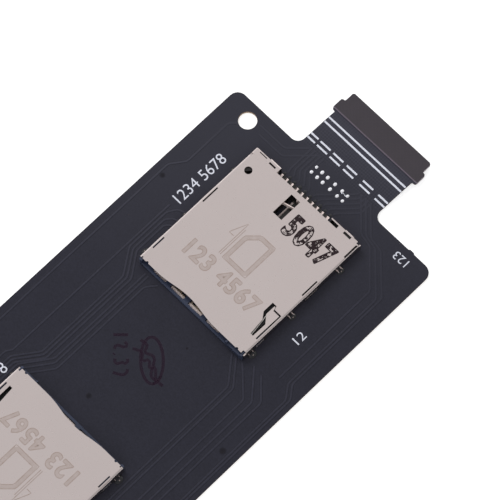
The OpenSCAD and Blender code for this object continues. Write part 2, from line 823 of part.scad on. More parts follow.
// Solid of the base before its contacts are let in
module base_body() {
    inside = base_top + past;
    notch_v = front - gap;
    difference() {
        union() {
            linear_extrude(base_top) polygon(rounded([
                [-base_half, notch_v - lap, 0],
                [base_half, notch_v - lap, 0],
                [base_half, rear_base_v, 0],
                [comb_u1 + base_back, rear_base_v, 0],
                [comb_u1 + base_back, comb_base_v, 0],
                [comb_u0 - base_back, comb_base_v, 0],
                [comb_u0 - base_back, rear_base_v, 0],
                [-base_half, rear_base_v, 0]
            ]));
            // Front bar across the whole width, in front of the shell's side walls
            linear_extrude(base_top) polygon(rounded([
                [-half + lip_side, base_front, base_r],
                [half - lip_side, base_front, base_r],
                [half - lip_side, notch_v, 0],
                [-half + lip_side, notch_v, 0]
            ]));
        }
        // Space for the card, up to the rear wall
        block([card_u0, base_front - past, floor_top], [card_u1, comb_in_v, inside]);
        block([card_u0, base_front - past, floor_top], [comb_u0 - base_back - rear_wall, rear_in_v, inside]);
        // Lane of the slider, the way of its arm, and the seat of the cam pin
        block([lane_u0, block_front - slider_clear, lane_floor], [lane_u1, rear_in_v, inside]);
        block(
            [comb_u1 + base_back + rear_wall, stop - notch_d, floor_top],
            [lane_u0 + lap, rear_in_v, inside]
        );
        block([lane_u0, base_front - past, block_top], [lane_u1, block_front, inside]);
        // Room behind the tails for the shell's corner
        block([comb_u1 + 2 * base_back, comb_v, hook_floor], [comb_u1 + hook_room, past, inside]);
        // Lead-in along the front edge of the floor
        translate([card_u0, base_front, floor_top]) rotate([45, 0, 0])
            translate([0, -lead_in / 2, -lead_in / 2]) cube([card_u1 - card_u0, lead_in, lead_in]);
    }
    // Block that the card's cut corner runs up to, so that the card only goes in one way
    translate([0, 0, floor_top - lap]) linear_extrude(base_top - floor_top + lap) polygon([
        [card_u0 - lap, rear_in_v + lap],
        [card_u0 - lap, -arm_t - cut_corner],
        [card_u0 + cut_corner - cut_gap, rear_in_v + lap]
    ]);
    // Boss in the rear end of the return spring
    translate([spring_u, rear_in_v + lap, spring_z])
        rotate([90, 0, 0]) cylinder(d = boss_d, h = boss_l, $fn = round_fn);
    // Bumps that hold the shell
    for (s = [-1, 1], l = latches)
        side_block(
            [s * (base_half - lap), s * (base_half + latch_bump)],
            [l[0] + latch_ends, l[1] - latch_ends],
            [latch_z0 + slide_gap, latch_z1 - latch_ends]
        );
    // Ribs between the tails
    for (i = [0:tails - 2])
        translate([tail_u(i) + tail_w / 2 + gap, comb_base_v - lap, 0])
            cube([tail_pitch - tail_w - 2 * gap, comb_rib_out - comb_base_v + lap, comb_rib_h]);
}

// Moulded base: floor with contact windows, card rails, slider lane and rear wall
module base() {
    slot_half = switch_riser + gap;
    color([0.13, 0.14, 0.2])
        difference() {
            base_body();
            for (k = [1, 5], i = [0:3]) {
                w = window_of(k);
                u = field_u(k + i);
                block([u - w[0], w[1], -past], [u + w[0], w[2], base_top]);
            }
            for (k = [1:CONTACTS]) lead_channel(lead_path(k));
            for (p = switch_leads) lead_channel([p, [p[0], tail_out]]);
            for (i = [0:tails - 1])
                translate([tail_u(i) - tail_w / 2 - gap, comb_base_v - gap, -past])
                    cube([tail_w + 2 * gap, past, past + strip_t + gap]);
            // Slots for the risers of the card switch
            for (p = switch_leads)
                block(
                    [p[0] - slot_half, p[1] - gap, -past],
                    [p[0] + slot_half, p[1] + switch_t + gap, floor_top + lap]
                );
            // Opening under the shell's window, over a lead
            block(
                [card_mid - view_left - lap, -view_rear - view_l - lap, -past],
                [tail_u(view_tail) + tail_w / 2, comb_in_v - notch_d, floor_top + lap]
            );
            // Hole for the cam pin's pivot
            translate([cam_out, pin_pivot, lane_floor])
                cylinder(d = pin_d + 2 * gap, h = base_top, $fn = round_fn);
        }
}

// Groove along a path, with round ends and bends
module groove(path, w) {
    for (p = path) translate(p) circle(d = w, $fn = round_fn);
    for (i = [0:len(path) - 2]) {
        d = path[i + 1] - path[i];
        translate(path[i]) rotate(atan2(d[1], d[0])) translate([0, -w / 2]) square([norm(d), w]);
    }
}

// Closed path of the cam in the slider: in along one leg, lock in the notch, out along the other
cam_path = [
    [cam_in, pin_tip + slide_gap],
    [cam_in, pin_tip - travel],
    [(cam_in + cam_out) / 2, pin_tip - lock_travel],
    [cam_out, pin_tip - travel],
    [cam_out, pin_tip - cam_bend],
    [cam_in, pin_tip + slide_gap]
];

// Ejector slider: cam block at the front, spring seat, rail and the arm that the card pushes
module slider() {
    color([0.16, 0.16, 0.17])
        difference() {
            union() {
                block([slider_u0, block_front, slider_z0], [slider_u1, seat, block_top]);
                block([slider_u0, seat - seat_t, slider_z0], [slider_u1, seat, slider_top]);
                block([slider_u0, seat - lap, slider_z0], [rail_u1, stop + arm_t, slider_top]);
                block([arm_u, stop, floor_top + slide_gap], [slider_u0 + lap, stop + arm_t, slider_top]);
                translate([spring_u, seat - lap, spring_z]) rotate([-90, 0, 0])
                    cylinder(d = boss_d, h = boss_l, $fn = round_fn);
            }
            translate([0, 0, cam_floor]) linear_extrude(2 * cam_depth) groove(cam_path, cam_w);
            // Step along the upper edge that meets the card
            block(
                [arm_u - past, stop - lap, slider_top - nick],
                [slider_u0 - nick, stop + nick, slider_top + past]
            );
        }
}

// Wire staple: pivots in the base and follows the cam with its other end
module cam_pin() {
    r = pin_bend_share * pin_d;
    d = [cam_in - cam_out, pin_tip - pin_pivot];
    length = norm(d);
    color([0.8, 0.8, 0.8])
        translate([cam_out, pin_pivot, 0])
            rotate([0, 0, atan2(d[1], d[0])]) {
                pin_leg(0, lane_floor + gap, r);
                pin_leg(length, cam_floor + slide_gap, r);
                translate([r, 0, pin_z]) rotate([0, 90, 0])
                    cylinder(d = pin_d, h = length - 2 * r, $fn = round_fn);
                pin_bend(r, r) rotate([0, 0, 90]) pin_arc(r);
                pin_bend(length - r, r) pin_arc(r);
            }
}

module pin_leg(x, z, r) {
    translate([x, 0, z]) cylinder(d = pin_d, h = pin_z - r - z, $fn = round_fn);
}

module pin_bend(x, r) {
    translate([x, 0, pin_z - r]) rotate([90, 0, 0]) children();
}

module pin_arc(r) {
    rotate_extrude(angle = 90, $fn = 2 * round_fn) translate([r, 0]) circle(d = pin_d, $fn = round_fn);
}

// Return spring between the slider's seat and the rear wall, with closed end turns
spring_v0 = seat + spring_wire / 2 + gap;
spring_v1 = rear_in_v - spring_wire / 2 - gap;
closed_rise = spring_wire * closed_share;
open_rise = (spring_v1 - spring_v0 - 2 * closed_rise) / (spring_turns - 2);
function spring_v(t) =
    t < 1 ? spring_v0 + t * closed_rise
    : t > spring_turns - 1 ? spring_v1 - (spring_turns - t) * closed_rise
    : spring_v0 + closed_rise + (t - 1) * open_rise;

module spring() {
    rings = spring_turns * spring_steps + 1;
    r = (spring_d - spring_wire) / 2;
    points = [
        for (i = [0:rings - 1], j = [0:spring_sides - 1])
        let (
            a = 360 * i / spring_steps,
            b = 360 * j / spring_sides,
            reach = r + cos(b) * spring_wire / 2
        )
        [
            spring_u + reach * cos(a),
            spring_v(i / spring_steps) + sin(b) * spring_wire / 2,
            spring_z + reach * sin(a)
        ]
    ];
    tube = [
        for (i = [0:rings - 2], j = [0:spring_sides - 1])
        let (n = (j + 1) % spring_sides, a = i * spring_sides, b = a + spring_sides)
        [a + j, b + j, b + n, a + n]
    ];
    ends = [
        [for (j = [0:spring_sides - 1]) j],
        [for (j = [spring_sides - 1:-1:0]) (rings - 1) * spring_sides + j]
    ];
    color([0.78, 0.77, 0.75]) polyhedron(points, concat(tube, ends), convexity = 10);
}

// Side view of a contact beam: up from its root to the crown, then down to the tip
module beam(u, root, crown) {
    mid = strip_t / 2;
    top = floor_top + crown_h - beam_t / 2;
    along_x(u - beam_half, u + beam_half) polygon(strip([
        [root - lead_lap, mid],
        [root + beam_flat, mid],
        [crown - crown_half, top],
        [crown + crown_half, top],
        [crown + crown_half + tip_l, floor_top - tip_drop]
    ], beam_t));
}

// One card contact: root plate, spring beam, lead and solder tail
module contact(k) {
    first = k <= per_row;
    u = field_u(k);
    root = root_of(k);
    color([0.86, 0.74, 0.5]) {
        linear_extrude(strip_t) {
            translate([u - root[0], root[1]]) square([2 * root[0], root[2] - root[1]]);
            polygon(strip(lead_path(k), lead_w));
            tail(first ? 2 * (k - 1) : 2 * (k - 1 - per_row) + 1);
        }
        beam(u, root[2], first ? row_1 : row_2);
    }
}

// Piece of the card switch: tail, riser through the floor, and a blade on edge along a path
module switch_piece(i, lead, path) {
    color([0.86, 0.82, 0.74]) {
        linear_extrude(strip_t) {
            polygon(strip([lead, [lead[0], tail_out]], lead_w));
            tail(i);
        }
        block(
            [lead[0] - switch_riser, lead[1], 0],
            [lead[0] + switch_riser, lead[1] + switch_t, switch_z1]
        );
        translate([0, 0, switch_z0]) linear_extrude(switch_z1 - switch_z0) polygon(strip(path, switch_t));
    }
}

// Long leaf that the card's leading edge pushes against the post
module switch_spring() {
    u = tail_u(switch_spring_tail);
    tip = [card_mid - switch_reach, switch_v - switch_sweep];
    switch_piece(switch_spring_tail, switch_leads[0], [
        [u + switch_riser, switch_v],
        [u - switch_root, switch_v],
        tip,
        tip + [-switch_tip, switch_hook]
    ]);
}

module switch_post() {
    u = tail_u(switch_post_tail);
    switch_piece(switch_post_tail, switch_leads[1], [
        [u + switch_riser, post_v],
        [u - post_reach, post_v],
        [u - post_reach - post_hook, post_v - post_hook / 2]
    ]);
}

flex_circuit();
board_stiffener();
tab_stiffener();
plug_housing();
plug_contacts();
plug_hold_downs();
for (s = SOCKETS) {
    at_socket(s) shell();
    at_socket(s) base();
    at_socket(s) slider();
    at_socket(s) spring();
    at_socket(s) cam_pin();
    at_socket(s) switch_spring();
    at_socket(s) switch_post();
    for (k = [1:CONTACTS])
        at_socket(s) contact(k);
}
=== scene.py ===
"""Looks of a flexible circuit that carries two push-push card sockets and a plug on its tab."""

import json
import math

import bmesh
import bpy
from bpy.props import FloatProperty, FloatVectorProperty, IntProperty, PointerProperty, StringProperty
from bpy.types import Operator, Panel, PropertyGroup
from mathutils import Matrix, Vector
from mathutils.bvhtree import BVHTree


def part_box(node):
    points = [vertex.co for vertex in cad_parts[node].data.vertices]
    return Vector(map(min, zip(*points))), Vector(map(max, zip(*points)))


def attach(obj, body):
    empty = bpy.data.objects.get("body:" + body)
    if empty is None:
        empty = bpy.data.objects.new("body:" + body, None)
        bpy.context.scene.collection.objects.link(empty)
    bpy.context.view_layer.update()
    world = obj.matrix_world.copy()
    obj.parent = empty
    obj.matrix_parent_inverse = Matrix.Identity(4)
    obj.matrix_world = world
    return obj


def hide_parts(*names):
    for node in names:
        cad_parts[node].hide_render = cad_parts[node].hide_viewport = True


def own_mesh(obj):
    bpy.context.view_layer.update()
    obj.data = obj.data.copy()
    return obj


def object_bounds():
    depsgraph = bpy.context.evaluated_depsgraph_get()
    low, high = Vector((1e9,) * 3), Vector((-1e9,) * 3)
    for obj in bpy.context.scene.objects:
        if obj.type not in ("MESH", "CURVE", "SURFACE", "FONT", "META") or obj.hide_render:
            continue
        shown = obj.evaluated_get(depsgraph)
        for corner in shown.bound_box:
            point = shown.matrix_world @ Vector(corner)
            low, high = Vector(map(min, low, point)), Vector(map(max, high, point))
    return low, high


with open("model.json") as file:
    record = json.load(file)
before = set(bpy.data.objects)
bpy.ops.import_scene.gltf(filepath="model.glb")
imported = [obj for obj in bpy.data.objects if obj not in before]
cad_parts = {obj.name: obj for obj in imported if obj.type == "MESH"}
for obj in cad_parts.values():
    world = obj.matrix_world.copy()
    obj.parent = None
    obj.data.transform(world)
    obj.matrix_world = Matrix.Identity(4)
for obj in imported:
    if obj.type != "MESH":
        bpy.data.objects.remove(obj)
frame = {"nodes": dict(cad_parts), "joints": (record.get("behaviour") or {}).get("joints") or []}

bl_info = {
    "name": "Card socket circuit",
    "version": (1, 0, 0),
    "blender": (4, 5, 0),
    "location": "3D View > Sidebar > Circuit",
    "description": "Finishes, print, solder and studio for a flexible circuit with two card sockets",
    "category": "Object",
}

CAD_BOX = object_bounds()
MM = 0.001
BOARD = "board"

# Places taken from the frame
BOARD_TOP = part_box("socket_1_base")[0].z
FILM_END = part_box("flex_circuit")[1].y
COVER_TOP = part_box("socket_1_shell")[1].z
SOCKET_MID_Y = (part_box("socket_1_base")[1].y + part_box("socket_2_base")[0].y) / 2

# Rows of the sockets' tails and the plug's contacts, pitches in millimetres
TAILS = 10
TAIL_PITCH = 0.73
PLUG_PINS = 20
PLUG_PITCH = 0.4

# Hatched copper of the neck, measured back from the far end of the tab, in millimetres
HATCH_START = 7.6
HATCH_END = 2.7

# Where a base turns darker, partly painted shade, in millimetres from the middle between the sockets
MOUTH_TINT_END = 10.5
COMB_TINT_START = 13.0

# Colours of flux, in linear light
FLUX_SPECKS = (0.10, 0.06, 0.04)
# Flux coloured like the film over the feet and tails: partly flux residue, partly painted shade in place of
# the solder's dark reflection.
FLUX_AND_PAINTED_SHADE = (0.012, 0.012, 0.015)
FLUX_STAIN = ((0.010, 0.008, 0.009), (0.018, 0.014, 0.015))

# Swept ridges: length of a step, and how deep the foot of a ridge sinks in
SWEEP_STEP = 0.3 * MM
SWEEP_SINK = 0.004 * MM


# Node helpers

def feed(tree, plug, value):
    """Links a socket or a Value to an input, or sets a plain number, vector or colour there."""
    if isinstance(value, Value):
        value = value.socket
    if isinstance(value, bpy.types.NodeSocket):
        tree.links.new(value, plug)
    elif plug.type == "RGBA":
        plug.default_value = (*value, 1)
    else:
        plug.default_value = value


def add_node(tree, kind, sockets=None, **properties):
    """Adds a node, sets its properties first, then fills or links its sockets."""
    node = tree.nodes.new(kind)
    for name, value in properties.items():
        setattr(node, name, value)
    for key, value in (sockets or {}).items():
        feed(tree, node.inputs[key], value)
    return node


def output(tree, kind, sockets=None, **properties):
    """First output of a new node."""
    return add_node(tree, kind, sockets, **properties).outputs[0]


def tinted(tint, factor):
    """A plain colour times a number."""
    return [c * factor for c in tint]


class Value:
    """A number inside a node tree. Each operator adds one node."""

    def __init__(self, tree, socket):
        self.tree = tree
        self.socket = socket

    def made(self, kind, *terms, **properties):
        """The number that a new node gives for its terms."""
        return Value(self.tree, output(self.tree, kind, dict(enumerate(terms)), **properties))

    def math(self, operation, *others, clamp=False):
        return self.made("ShaderNodeMath", self, *others, operation=operation, use_clamp=clamp)

    def __add__(self, other):
        return self.math("ADD", other)

    __radd__ = __add__

    def __sub__(self, other):
        return self.math("SUBTRACT", other)

    def __rsub__(self, other):
        return self.made("ShaderNodeMath", other, self, operation="SUBTRACT")

    def __mul__(self, other):
        return self.math("MULTIPLY", other)

    __rmul__ = __mul__

    def __abs__(self):
        return self.math("ABSOLUTE")

    def clamped(self):
        """The same number, kept from 0 to 1."""
        return self.math("ADD", 0.0, clamp=True)

    def ramp(self, low, high):
        """0 below low, 1 above high, smooth between."""
        return self.made("ShaderNodeMapRange", self, low, high, 0.0, 1.0, interpolation_type="SMOOTHSTEP")


class Finish:
    """A procedural material on Object coordinates, counted in millimetres."""

    def __init__(self, name):
        self.material = bpy.data.materials.new(name)
        self.material.use_nodes = True
        self.tree = self.material.node_tree
        self.shader = self.tree.nodes["Principled BSDF"]
        self.point = self.scale(add_node(self.tree, "ShaderNodeTexCoord").outputs["Object"], 1 / MM)
        split = add_node(self.tree, "ShaderNodeSeparateXYZ", {0: self.point})
        self.x, self.y, self.z = (Value(self.tree, out) for out in split.outputs)

    def scale(self, vector, factor):
        """Vector or colour times a number."""
        return output(self.tree, "ShaderNodeVectorMath", {0: vector, "Scale": factor}, operation="SCALE")

    def noise(self, per_mm, detail=3.0, rough=0.5, stretch=(1, 1, 1)):
        """Cloudy noise from 0 to 1, with about per_mm patches in a millimetre."""
        place = output(self.tree, "ShaderNodeMapping", {"Vector": self.point, "Scale": stretch})
        sockets = {"Vector": place, "Scale": per_mm, "Detail": detail, "Roughness": rough}
        return Value(self.tree, output(self.tree, "ShaderNodeTexNoise", sockets))

    def specks(self, per_mm, size):
        """1 inside round specks of the given size, 0 outside."""
        sockets = {"Vector": self.point, "Scale": per_mm, "Randomness": 1.0}
        distance = Value(self.tree, output(self.tree, "ShaderNodeTexVoronoi", sockets))
        return 1 - distance.ramp(size * 0.5, size)

    def wave(self, along, pitch):
        """Sine from -1 to 1 with the given pitch in millimetres."""
        return (along * (2 * math.pi / pitch)).math("SINE")

    def weave(self, pitch):
        """Crossed waves along X and Y."""
        return self.wave(self.x, pitch) * self.wave(self.y, pitch)

    def upright(self, low, high):
        """1 on faces that stand upright, 0 on level ones, with the change between two slopes."""
        geometry = add_node(self.tree, "ShaderNodeNewGeometry")
        split = add_node(self.tree, "ShaderNodeSeparateXYZ", {0: geometry.outputs["Normal"]})
        return 1 - abs(Value(self.tree, split.outputs["Z"])).ramp(low, high)

    def mix(self, factor, first, second):
        """Colour between two colours."""
        sockets = {0: factor, 6: first, 7: second}
        return add_node(self.tree, "ShaderNodeMix", sockets, data_type="RGBA").outputs[2]

    def shades(self, factor, tint, first, second=1):
        """Colour between two strengths of a tint."""
        return self.mix(factor, tinted(tint, first), tinted(tint, second))

    def bump(self, height, depth_mm):
        """Relief of the given depth for a height from 0 to 1."""
        sockets = {"Height": height, "Distance": depth_mm * MM, "Strength": 1.0}
        return output(self.tree, "ShaderNodeBump", sockets)

    def finish(self, **sockets):
        """Sets the shader's sockets, with _ for a space in their names, and returns the material."""
        for name, value in sockets.items():
            feed(self.tree, self.shader.inputs[name.replace("_", " ")], value)
        return self.material

    def mottled(self, cloud, colours, rough, depth_mm, **sockets):
        """Finishes a material whose colour, roughness (least and span) and relief follow one noise."""
        return self.finish(
            Base_Color=self.mix(cloud, *colours),
            Roughness=rough[0] + cloud * rough[1],
            Normal=self.bump(cloud, depth_mm),
            **sockets,
        )


# Settings that a user would change

def setting(kind, text, default, **extras):
    """A property whose text is both its name and its description."""
    return kind(name=text, description=text, default=default, **extras)


def colour(text, default):
    """A colour, in linear light."""
    return setting(FloatVectorProperty, text, default, subtype="COLOR", min=0, max=1)


def length(text, millimetres):
    """A length."""
    return setting(FloatProperty, text, millimetres * MM, unit="LENGTH", precision=5)


def share(text, default):
    """A number from 0 to 1."""
    return setting(FloatProperty, text, default, min=0, max=1, subtype="FACTOR")


class CircuitFilm(PropertyGroup):
    """Film, stiffeners and the relief of the tracks under the cover layer."""

    ink: colour("Colour of the cover layer", (0.0157, 0.0156, 0.0236))
    # Painted light: the cover layer is painted paler towards the rear left corner, where the light falls
    # strongest.
    painted_light_haze: share("Paler haze towards the rear left corner", 0.8)
    edge: colour("Colour of the film's cut edge", (0.07, 0.03, 0.012))
    laminate: colour("Colour of the board's stiffener", (0.13, 0.075, 0.03))
    tab: colour("Colour of the tab's plate", (0.0305, 0.0250, 0.0315))
    roughness: share("Roughness of the cover layer", 0.42)
    track_width: length("Width of a track's relief", 0.42)
    track_height: length("Height of a track's relief", 0.022)
    track_radius: length("Radius of a track's bends", 0.6)
    hatch_pitch: length("Pitch of the hatched copper in the neck", 0.28)


class CircuitPrint(PropertyGroup):
    """White print on the film, and marks on the film and the socket covers."""

    white: colour("Colour of the white print", (0.80, 0.82, 0.92))
    black: colour("Colour of the ink on the cover", (0.010, 0.006, 0.007))
    etch: colour("Colour of the etched lines", (0.345, 0.265, 0.230))
    pen: colour("Colour of the marker ink on the film", (0.029, 0.0115, 0.030))
    thickness: length("Thickness of the print", 0.012)
    bar_width: length("Width of the printed bars", 0.2)
    etch_width: length("Width of the etched outline", 0.45)
    cover_digits: setting(StringProperty, "Plain digits on cover 1", "5047")
    scale_digits: setting(StringProperty, "Plain digits beside each socket", "1234 5678")
    etch_digits: setting(StringProperty, "Plain digits etched into the covers", "123 4567")


class CircuitMetal(PropertyGroup):
    """Metals and mouldings of the sockets and the plug."""

    steel: colour("Colour of the covers", (0.530, 0.466, 0.456))
    spring: colour("Colour of springs and pins", (0.62, 0.6, 0.58))
    gold: colour("Colour of the contact areas", (0.86, 0.73, 0.58))
    tin: colour("Colour of the tinned ends", (0.97, 0.82, 0.78))
    solder: colour("Colour of the solder", (0.62, 0.52, 0.48))
    moulding: colour("Colour of the moulded bases", (0.031, 0.039, 0.070))
    # Partly the bases' own colour and partly painted shade between the tails.
    comb: colour("Colour of the bases between the tails", (0.009, 0.007, 0.007))
    slider: colour("Colour of the sliders", (0.018, 0.018, 0.02))
    plug: colour("Colour of the plug's housing", (0.015, 0.015, 0.015))
    roughness: share("Roughness of the covers", 0.3)
    spring_wire: length("Diameter of the return springs' wire", 0.13)
    spring_turns: setting(IntProperty, "Turns of a return spring", 13, min=4)
    solder_seed: setting(IntProperty, "Seed of the solder's variation", 7)


class CircuitStudio(PropertyGroup):
    """Lamps, floor and the light from all round."""

    key: setting(FloatProperty, "Power of the key lamp", 0.15, unit="POWER")
    fill: setting(FloatProperty, "Power of the fill lamp", 0.8, unit="POWER")
    world: share("Light from all round", 0.45)
    sheen: setting(FloatProperty, "Reflected light from the key lamp's side", 1.75)
    floor: colour("Colour of the floor", (0.9, 0.9, 0.9))


def settings(name):
    """One of the setting groups of this scene."""
    return getattr(bpy.context.scene, name)


# Places and meshes

def metres(*millimetres):
    """Lengths given in millimetres, in metres."""
    return tuple(c * MM for c in millimetres)


def shifted(x, y, z=0.0):
    """Move by distances given in millimetres."""
    return Matrix.Translation(metres(x, y, z))


def socket_place(number):
    """Frame of a socket: its middle at the rear edge, on the board, with the mouth towards -Y."""
    low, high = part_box(f"socket_{number}_base")
    rear = high.y if number == 1 else low.y
    turn = Matrix.Rotation(math.pi * (number - 1), 4, "Z")
    return Matrix.Translation(Vector(((low.x + high.x) / 2, rear, BOARD_TOP))) @ turn


def add_object(name, data):
    """A new object of the scene."""
    made = bpy.data.objects.new(name, data)
    bpy.context.scene.collection.objects.link(made)
    return made


def mesh_object(name, verts=(), edges=(), faces=()):
    """An object with a plain mesh."""
    mesh = bpy.data.meshes.new(name)
    mesh.from_pydata([Vector(v) for v in verts], list(edges), list(faces))
    return add_object(name, mesh)


def paint(mesh, material):
    """Gives a mesh one material."""
    mesh.materials.clear()
    mesh.materials.append(material)


def seat(piece):
    """Ties a finished piece to the board that carries it."""
    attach(piece, BOARD)
    return piece


def dress(test, material):
    """Gives every CAD node whose name passes the test its material."""
    for name, node in frame["nodes"].items():
        if test(name):
            if not node.data.materials:
                node.data.materials.append(material)
            for place in node.material_slots:
                place.material = material


class Ground:
    """The film's surface, looked down at from above, that marks are laid on."""

    ABOVE = Vector((0, 0, 0.01))
    DOWN = Vector((0, 0, -1))

    def __init__(self):
        mesh = frame["nodes"]["flex_circuit"].data
        faces = [tuple(p.vertices) for p in mesh.polygons]
        self.tree = BVHTree.FromPolygons([v.co for v in mesh.vertices], faces)

    def height(self, x, y):
        start = Vector((x, y, 0)) + self.ABOVE
        hit = self.tree.ray_cast(start, self.DOWN)[0]
        return (hit or self.tree.find_nearest(start)[0]).z

    def lay(self, piece):
        """Adds the film's height to every vertex of a mesh that was made flat round height 0."""
        for v in piece.data.vertices:
            v.co.z += self.height(v.co.x, v.co.y)
        piece.data.update()
        return piece


# Geometry Nodes trees

def new_tree(name, inputs):
    """An empty tree with named inputs, and its two end nodes."""
    group = bpy.data.node_groups.new(name, "GeometryNodeTree")
    face = group.interface
    face.new_socket(name="Geometry", in_out="INPUT", socket_type="NodeSocketGeometry")
    for label, (kind, default) in inputs.items():
        item = face.new_socket(name=label, in_out="INPUT", socket_type="NodeSocket" + kind)
        if default is not None:
            item.default_value = default
    face.new_socket(name="Geometry", in_out="OUTPUT", socket_type="NodeSocketGeometry")
    return group, add_node(group, "NodeGroupInput").outputs, add_node(group, "NodeGroupOutput").inputs


def end_tree(group, geometry, given, result):
    """Ends a tree in Realize Instances and Set Material."""
    real = output(group, "GeometryNodeRealizeInstances", {0: geometry})
    painted = output(group, "GeometryNodeSetMaterial", {"Geometry": real, "Material": given["Material"]})
    feed(group, result["Geometry"], painted)
    return group


def sweep_tree():
    """Sweeps a low arch along every edge path of the host."""
    group, given, result = new_tree("Sweep", {
        "Width": ("Float", 0.15 * MM),
        "Height": ("Float", 0.02 * MM),
        "Bend Radius": ("Float", 0.5 * MM),
        "Step": ("Float", SWEEP_STEP),
        "Sink": ("Float", SWEEP_SINK),
        "Material": ("Material", None),
    })
    path = output(group, "GeometryNodeMeshToCurve", {0: given["Geometry"]})
    bends = {"Curve": path, "Count": 5, "Radius": given["Bend Radius"], "Limit Radius": True}
    bent = output(group, "GeometryNodeFilletCurve", bends, mode="POLY")
    steps = {"Curve": bent, "Length": given["Step"]}
    cut = output(group, "GeometryNodeResampleCurve", steps, mode="LENGTH")
    flat = output(group, "GeometryNodeSetCurveNormal", {"Curve": cut}, mode="Z_UP")
    half = Value(group, given["Width"]) * 0.5
    left, right = (
        output(group, "ShaderNodeCombineXYZ", {"X": half * side, "Y": given["Sink"]}) for side in (-1, 1)
    )
    apex = Value(group, given["Height"]) * -2 - given["Sink"]
    top = output(group, "ShaderNodeCombineXYZ", {"Y": apex})
    bow = {"Resolution": 6, "Start": left, "Middle": top, "End": right}
    arch = output(group, "GeometryNodeCurveQuadraticBezier", bow)
    ends = {"Curve": flat, "Profile Curve": arch, "Fill Caps": True}
    return end_tree(group, output(group, "GeometryNodeCurveToMesh", ends), given, result)


def wire_tree():
    """Sweeps round wire along every edge path of the host."""
    group, given, result = new_tree("Wire", {
        "Radius": ("Float", 0.065 * MM),
        "Sides": ("Int", 10),
        "Material": ("Material", None),
    })
    path = output(group, "GeometryNodeMeshToCurve", {0: given["Geometry"]})
    section = {"Resolution": given["Sides"], "Radius": given["Radius"]}
    ring = output(group, "GeometryNodeCurvePrimitiveCircle", section, mode="RADIUS")
    ends = {"Curve": path, "Profile Curve": ring, "Fill Caps": True}
    return end_tree(group, output(group, "GeometryNodeCurveToMesh", ends), given, result)


def stamp_tree():
    """Puts a copy of a shape on every vertex of the host, sized by its attribute, with slight variation."""
    group, given, result = new_tree("Stamp", {
        "Shape": ("Object", None),
        "Variation": ("Float", 0.0),
        "Seed": ("Int", 1),
        "Material": ("Material", None),
    })
    shape = add_node(group, "GeometryNodeObjectInfo", {"Object": given["Shape"]}).outputs["Geometry"]
    size = output(group, "GeometryNodeInputNamedAttribute", {"Name": "size"}, data_type="FLOAT_VECTOR")
    spread = Value(group, given["Variation"])
    chance = {2: 1 - spread, 3: 1 + spread, "Seed": given["Seed"]}
    vary = add_node(group, "FunctionNodeRandomValue", chance, data_type="FLOAT").outputs[1]
    scale = output(group, "ShaderNodeVectorMath", {0: size, "Scale": vary}, operation="SCALE")
    copies = {"Points": given["Geometry"], "Instance": shape, "Scale": scale}
    return end_tree(group, output(group, "GeometryNodeInstanceOnPoints", copies), given, result)


def grow(host, group, values):
    """Runs a tree on a host object and keeps the result as its plain mesh."""
    modifier = host.modifiers.new(group.name, "NODES")
    modifier.node_group = group
    for item in group.interface.items_tree:
        if item.in_out == "INPUT" and item.name in values:
            modifier[item.identifier] = values[item.name]
    view = bpy.context.evaluated_depsgraph_get()
    made = bpy.data.meshes.new_from_object(host.evaluated_get(view))
    host.modifiers.remove(modifier)
    old = host.data
    host.data = made
    bpy.data.meshes.remove(old)
    made.name = host.name
    paint(made, values["Material"])
    return host


def sweep_host(host, material, width, height, radius=0.0, step=SWEEP_STEP, sink=SWEEP_SINK):
    """A ridge or line along every edge path of a host object."""
    values = {"Width": width, "Height": height, "Bend Radius": radius, "Step": step, "Sink": sink}
    return grow(host, sweep_tree(), {**values, "Material": material})


def sweep(name, paths, material, width, height, radius=0.0, sink=SWEEP_SINK, closed=False):
    """A ridge or line along paths given in millimetres."""
    verts, edges = [], []
    for path in paths:
        first = len(verts)
        verts += [metres(x, y, 0) for x, y in path]
        edges += [(i, i + 1) for i in range(first, len(verts) - 1)]
        if closed:
            edges.append((len(verts) - 1, first))
    return sweep_host(mesh_object(name, verts, edges), material, width, height, radius, sink=sink)


def stamp(name, shape, places, sizes, material, variation=0.0, seed=1):
    """Copies of a unit shape at places, each with its own size, all in metres."""
    host = mesh_object(name, places)
    layer = host.data.attributes.new("size", "FLOAT_VECTOR", "POINT")
    for item, size in zip(layer.data, sizes):
        item.vector = size
    grow(host, stamp_tree(), {"Shape": shape, "Variation": variation, "Seed": seed, "Material": material})
    shape_mesh = shape.data
    bpy.data.objects.remove(shape)
    bpy.data.meshes.remove(shape_mesh)
    return host


# Unit shapes that are stamped

def unit_slab():
    """Box one unit long, wide and high, standing on height 0, in short steps along its length."""
    slab = mesh_object("slab")
    build = bmesh.new()
    bmesh.ops.create_cube(build, size=1, matrix=Matrix.Translation((0, 0, 0.5)))
    long_edges = [e for e in build.edges if abs(e.verts[0].co.x - e.verts[1].co.x) > 0.5]
    bmesh.ops.subdivide_edges(build, edges=long_edges, cuts=11)
    build.to_mesh(slab.data)
    build.free()
    return slab


def unit_drop():
    """Drop of solder one unit across, turned about Z, that runs out thin at its foot."""
    sides = 14
    foot = [(0, -0.1), (0.5, -0.1), (0.5, 0.02)]
    dome = [(0.42, 0.2), (0.34, 0.5), (0.24, 0.8), (0.12, 0.96), (0, 1)]
    drop = mesh_object("drop")
    build = bmesh.new()
    angles = [2 * math.pi * k / sides for k in range(sides)]
    rings = []
    for radius, height in foot + dome:
        turned = angles if radius else [0]
        points = [(radius * math.cos(a), radius * math.sin(a), height) for a in turned]
        rings.append([build.verts.new(point) for point in points])
    for low, high in zip(rings, rings[1:]):
        for k in range(sides):
            n = (k + 1) % sides
            corners = [low[k % len(low)], low[n % len(low)], high[n % len(high)], high[k % len(high)]]
            build.faces.new(list(dict.fromkeys(corners)))
    bmesh.ops.recalc_face_normals(build, faces=build.faces)
    for face in build.faces:
        face.smooth = True
    build.to_mesh(drop.data)
    build.free()
    return drop


# Digits, solid or as fine outlines

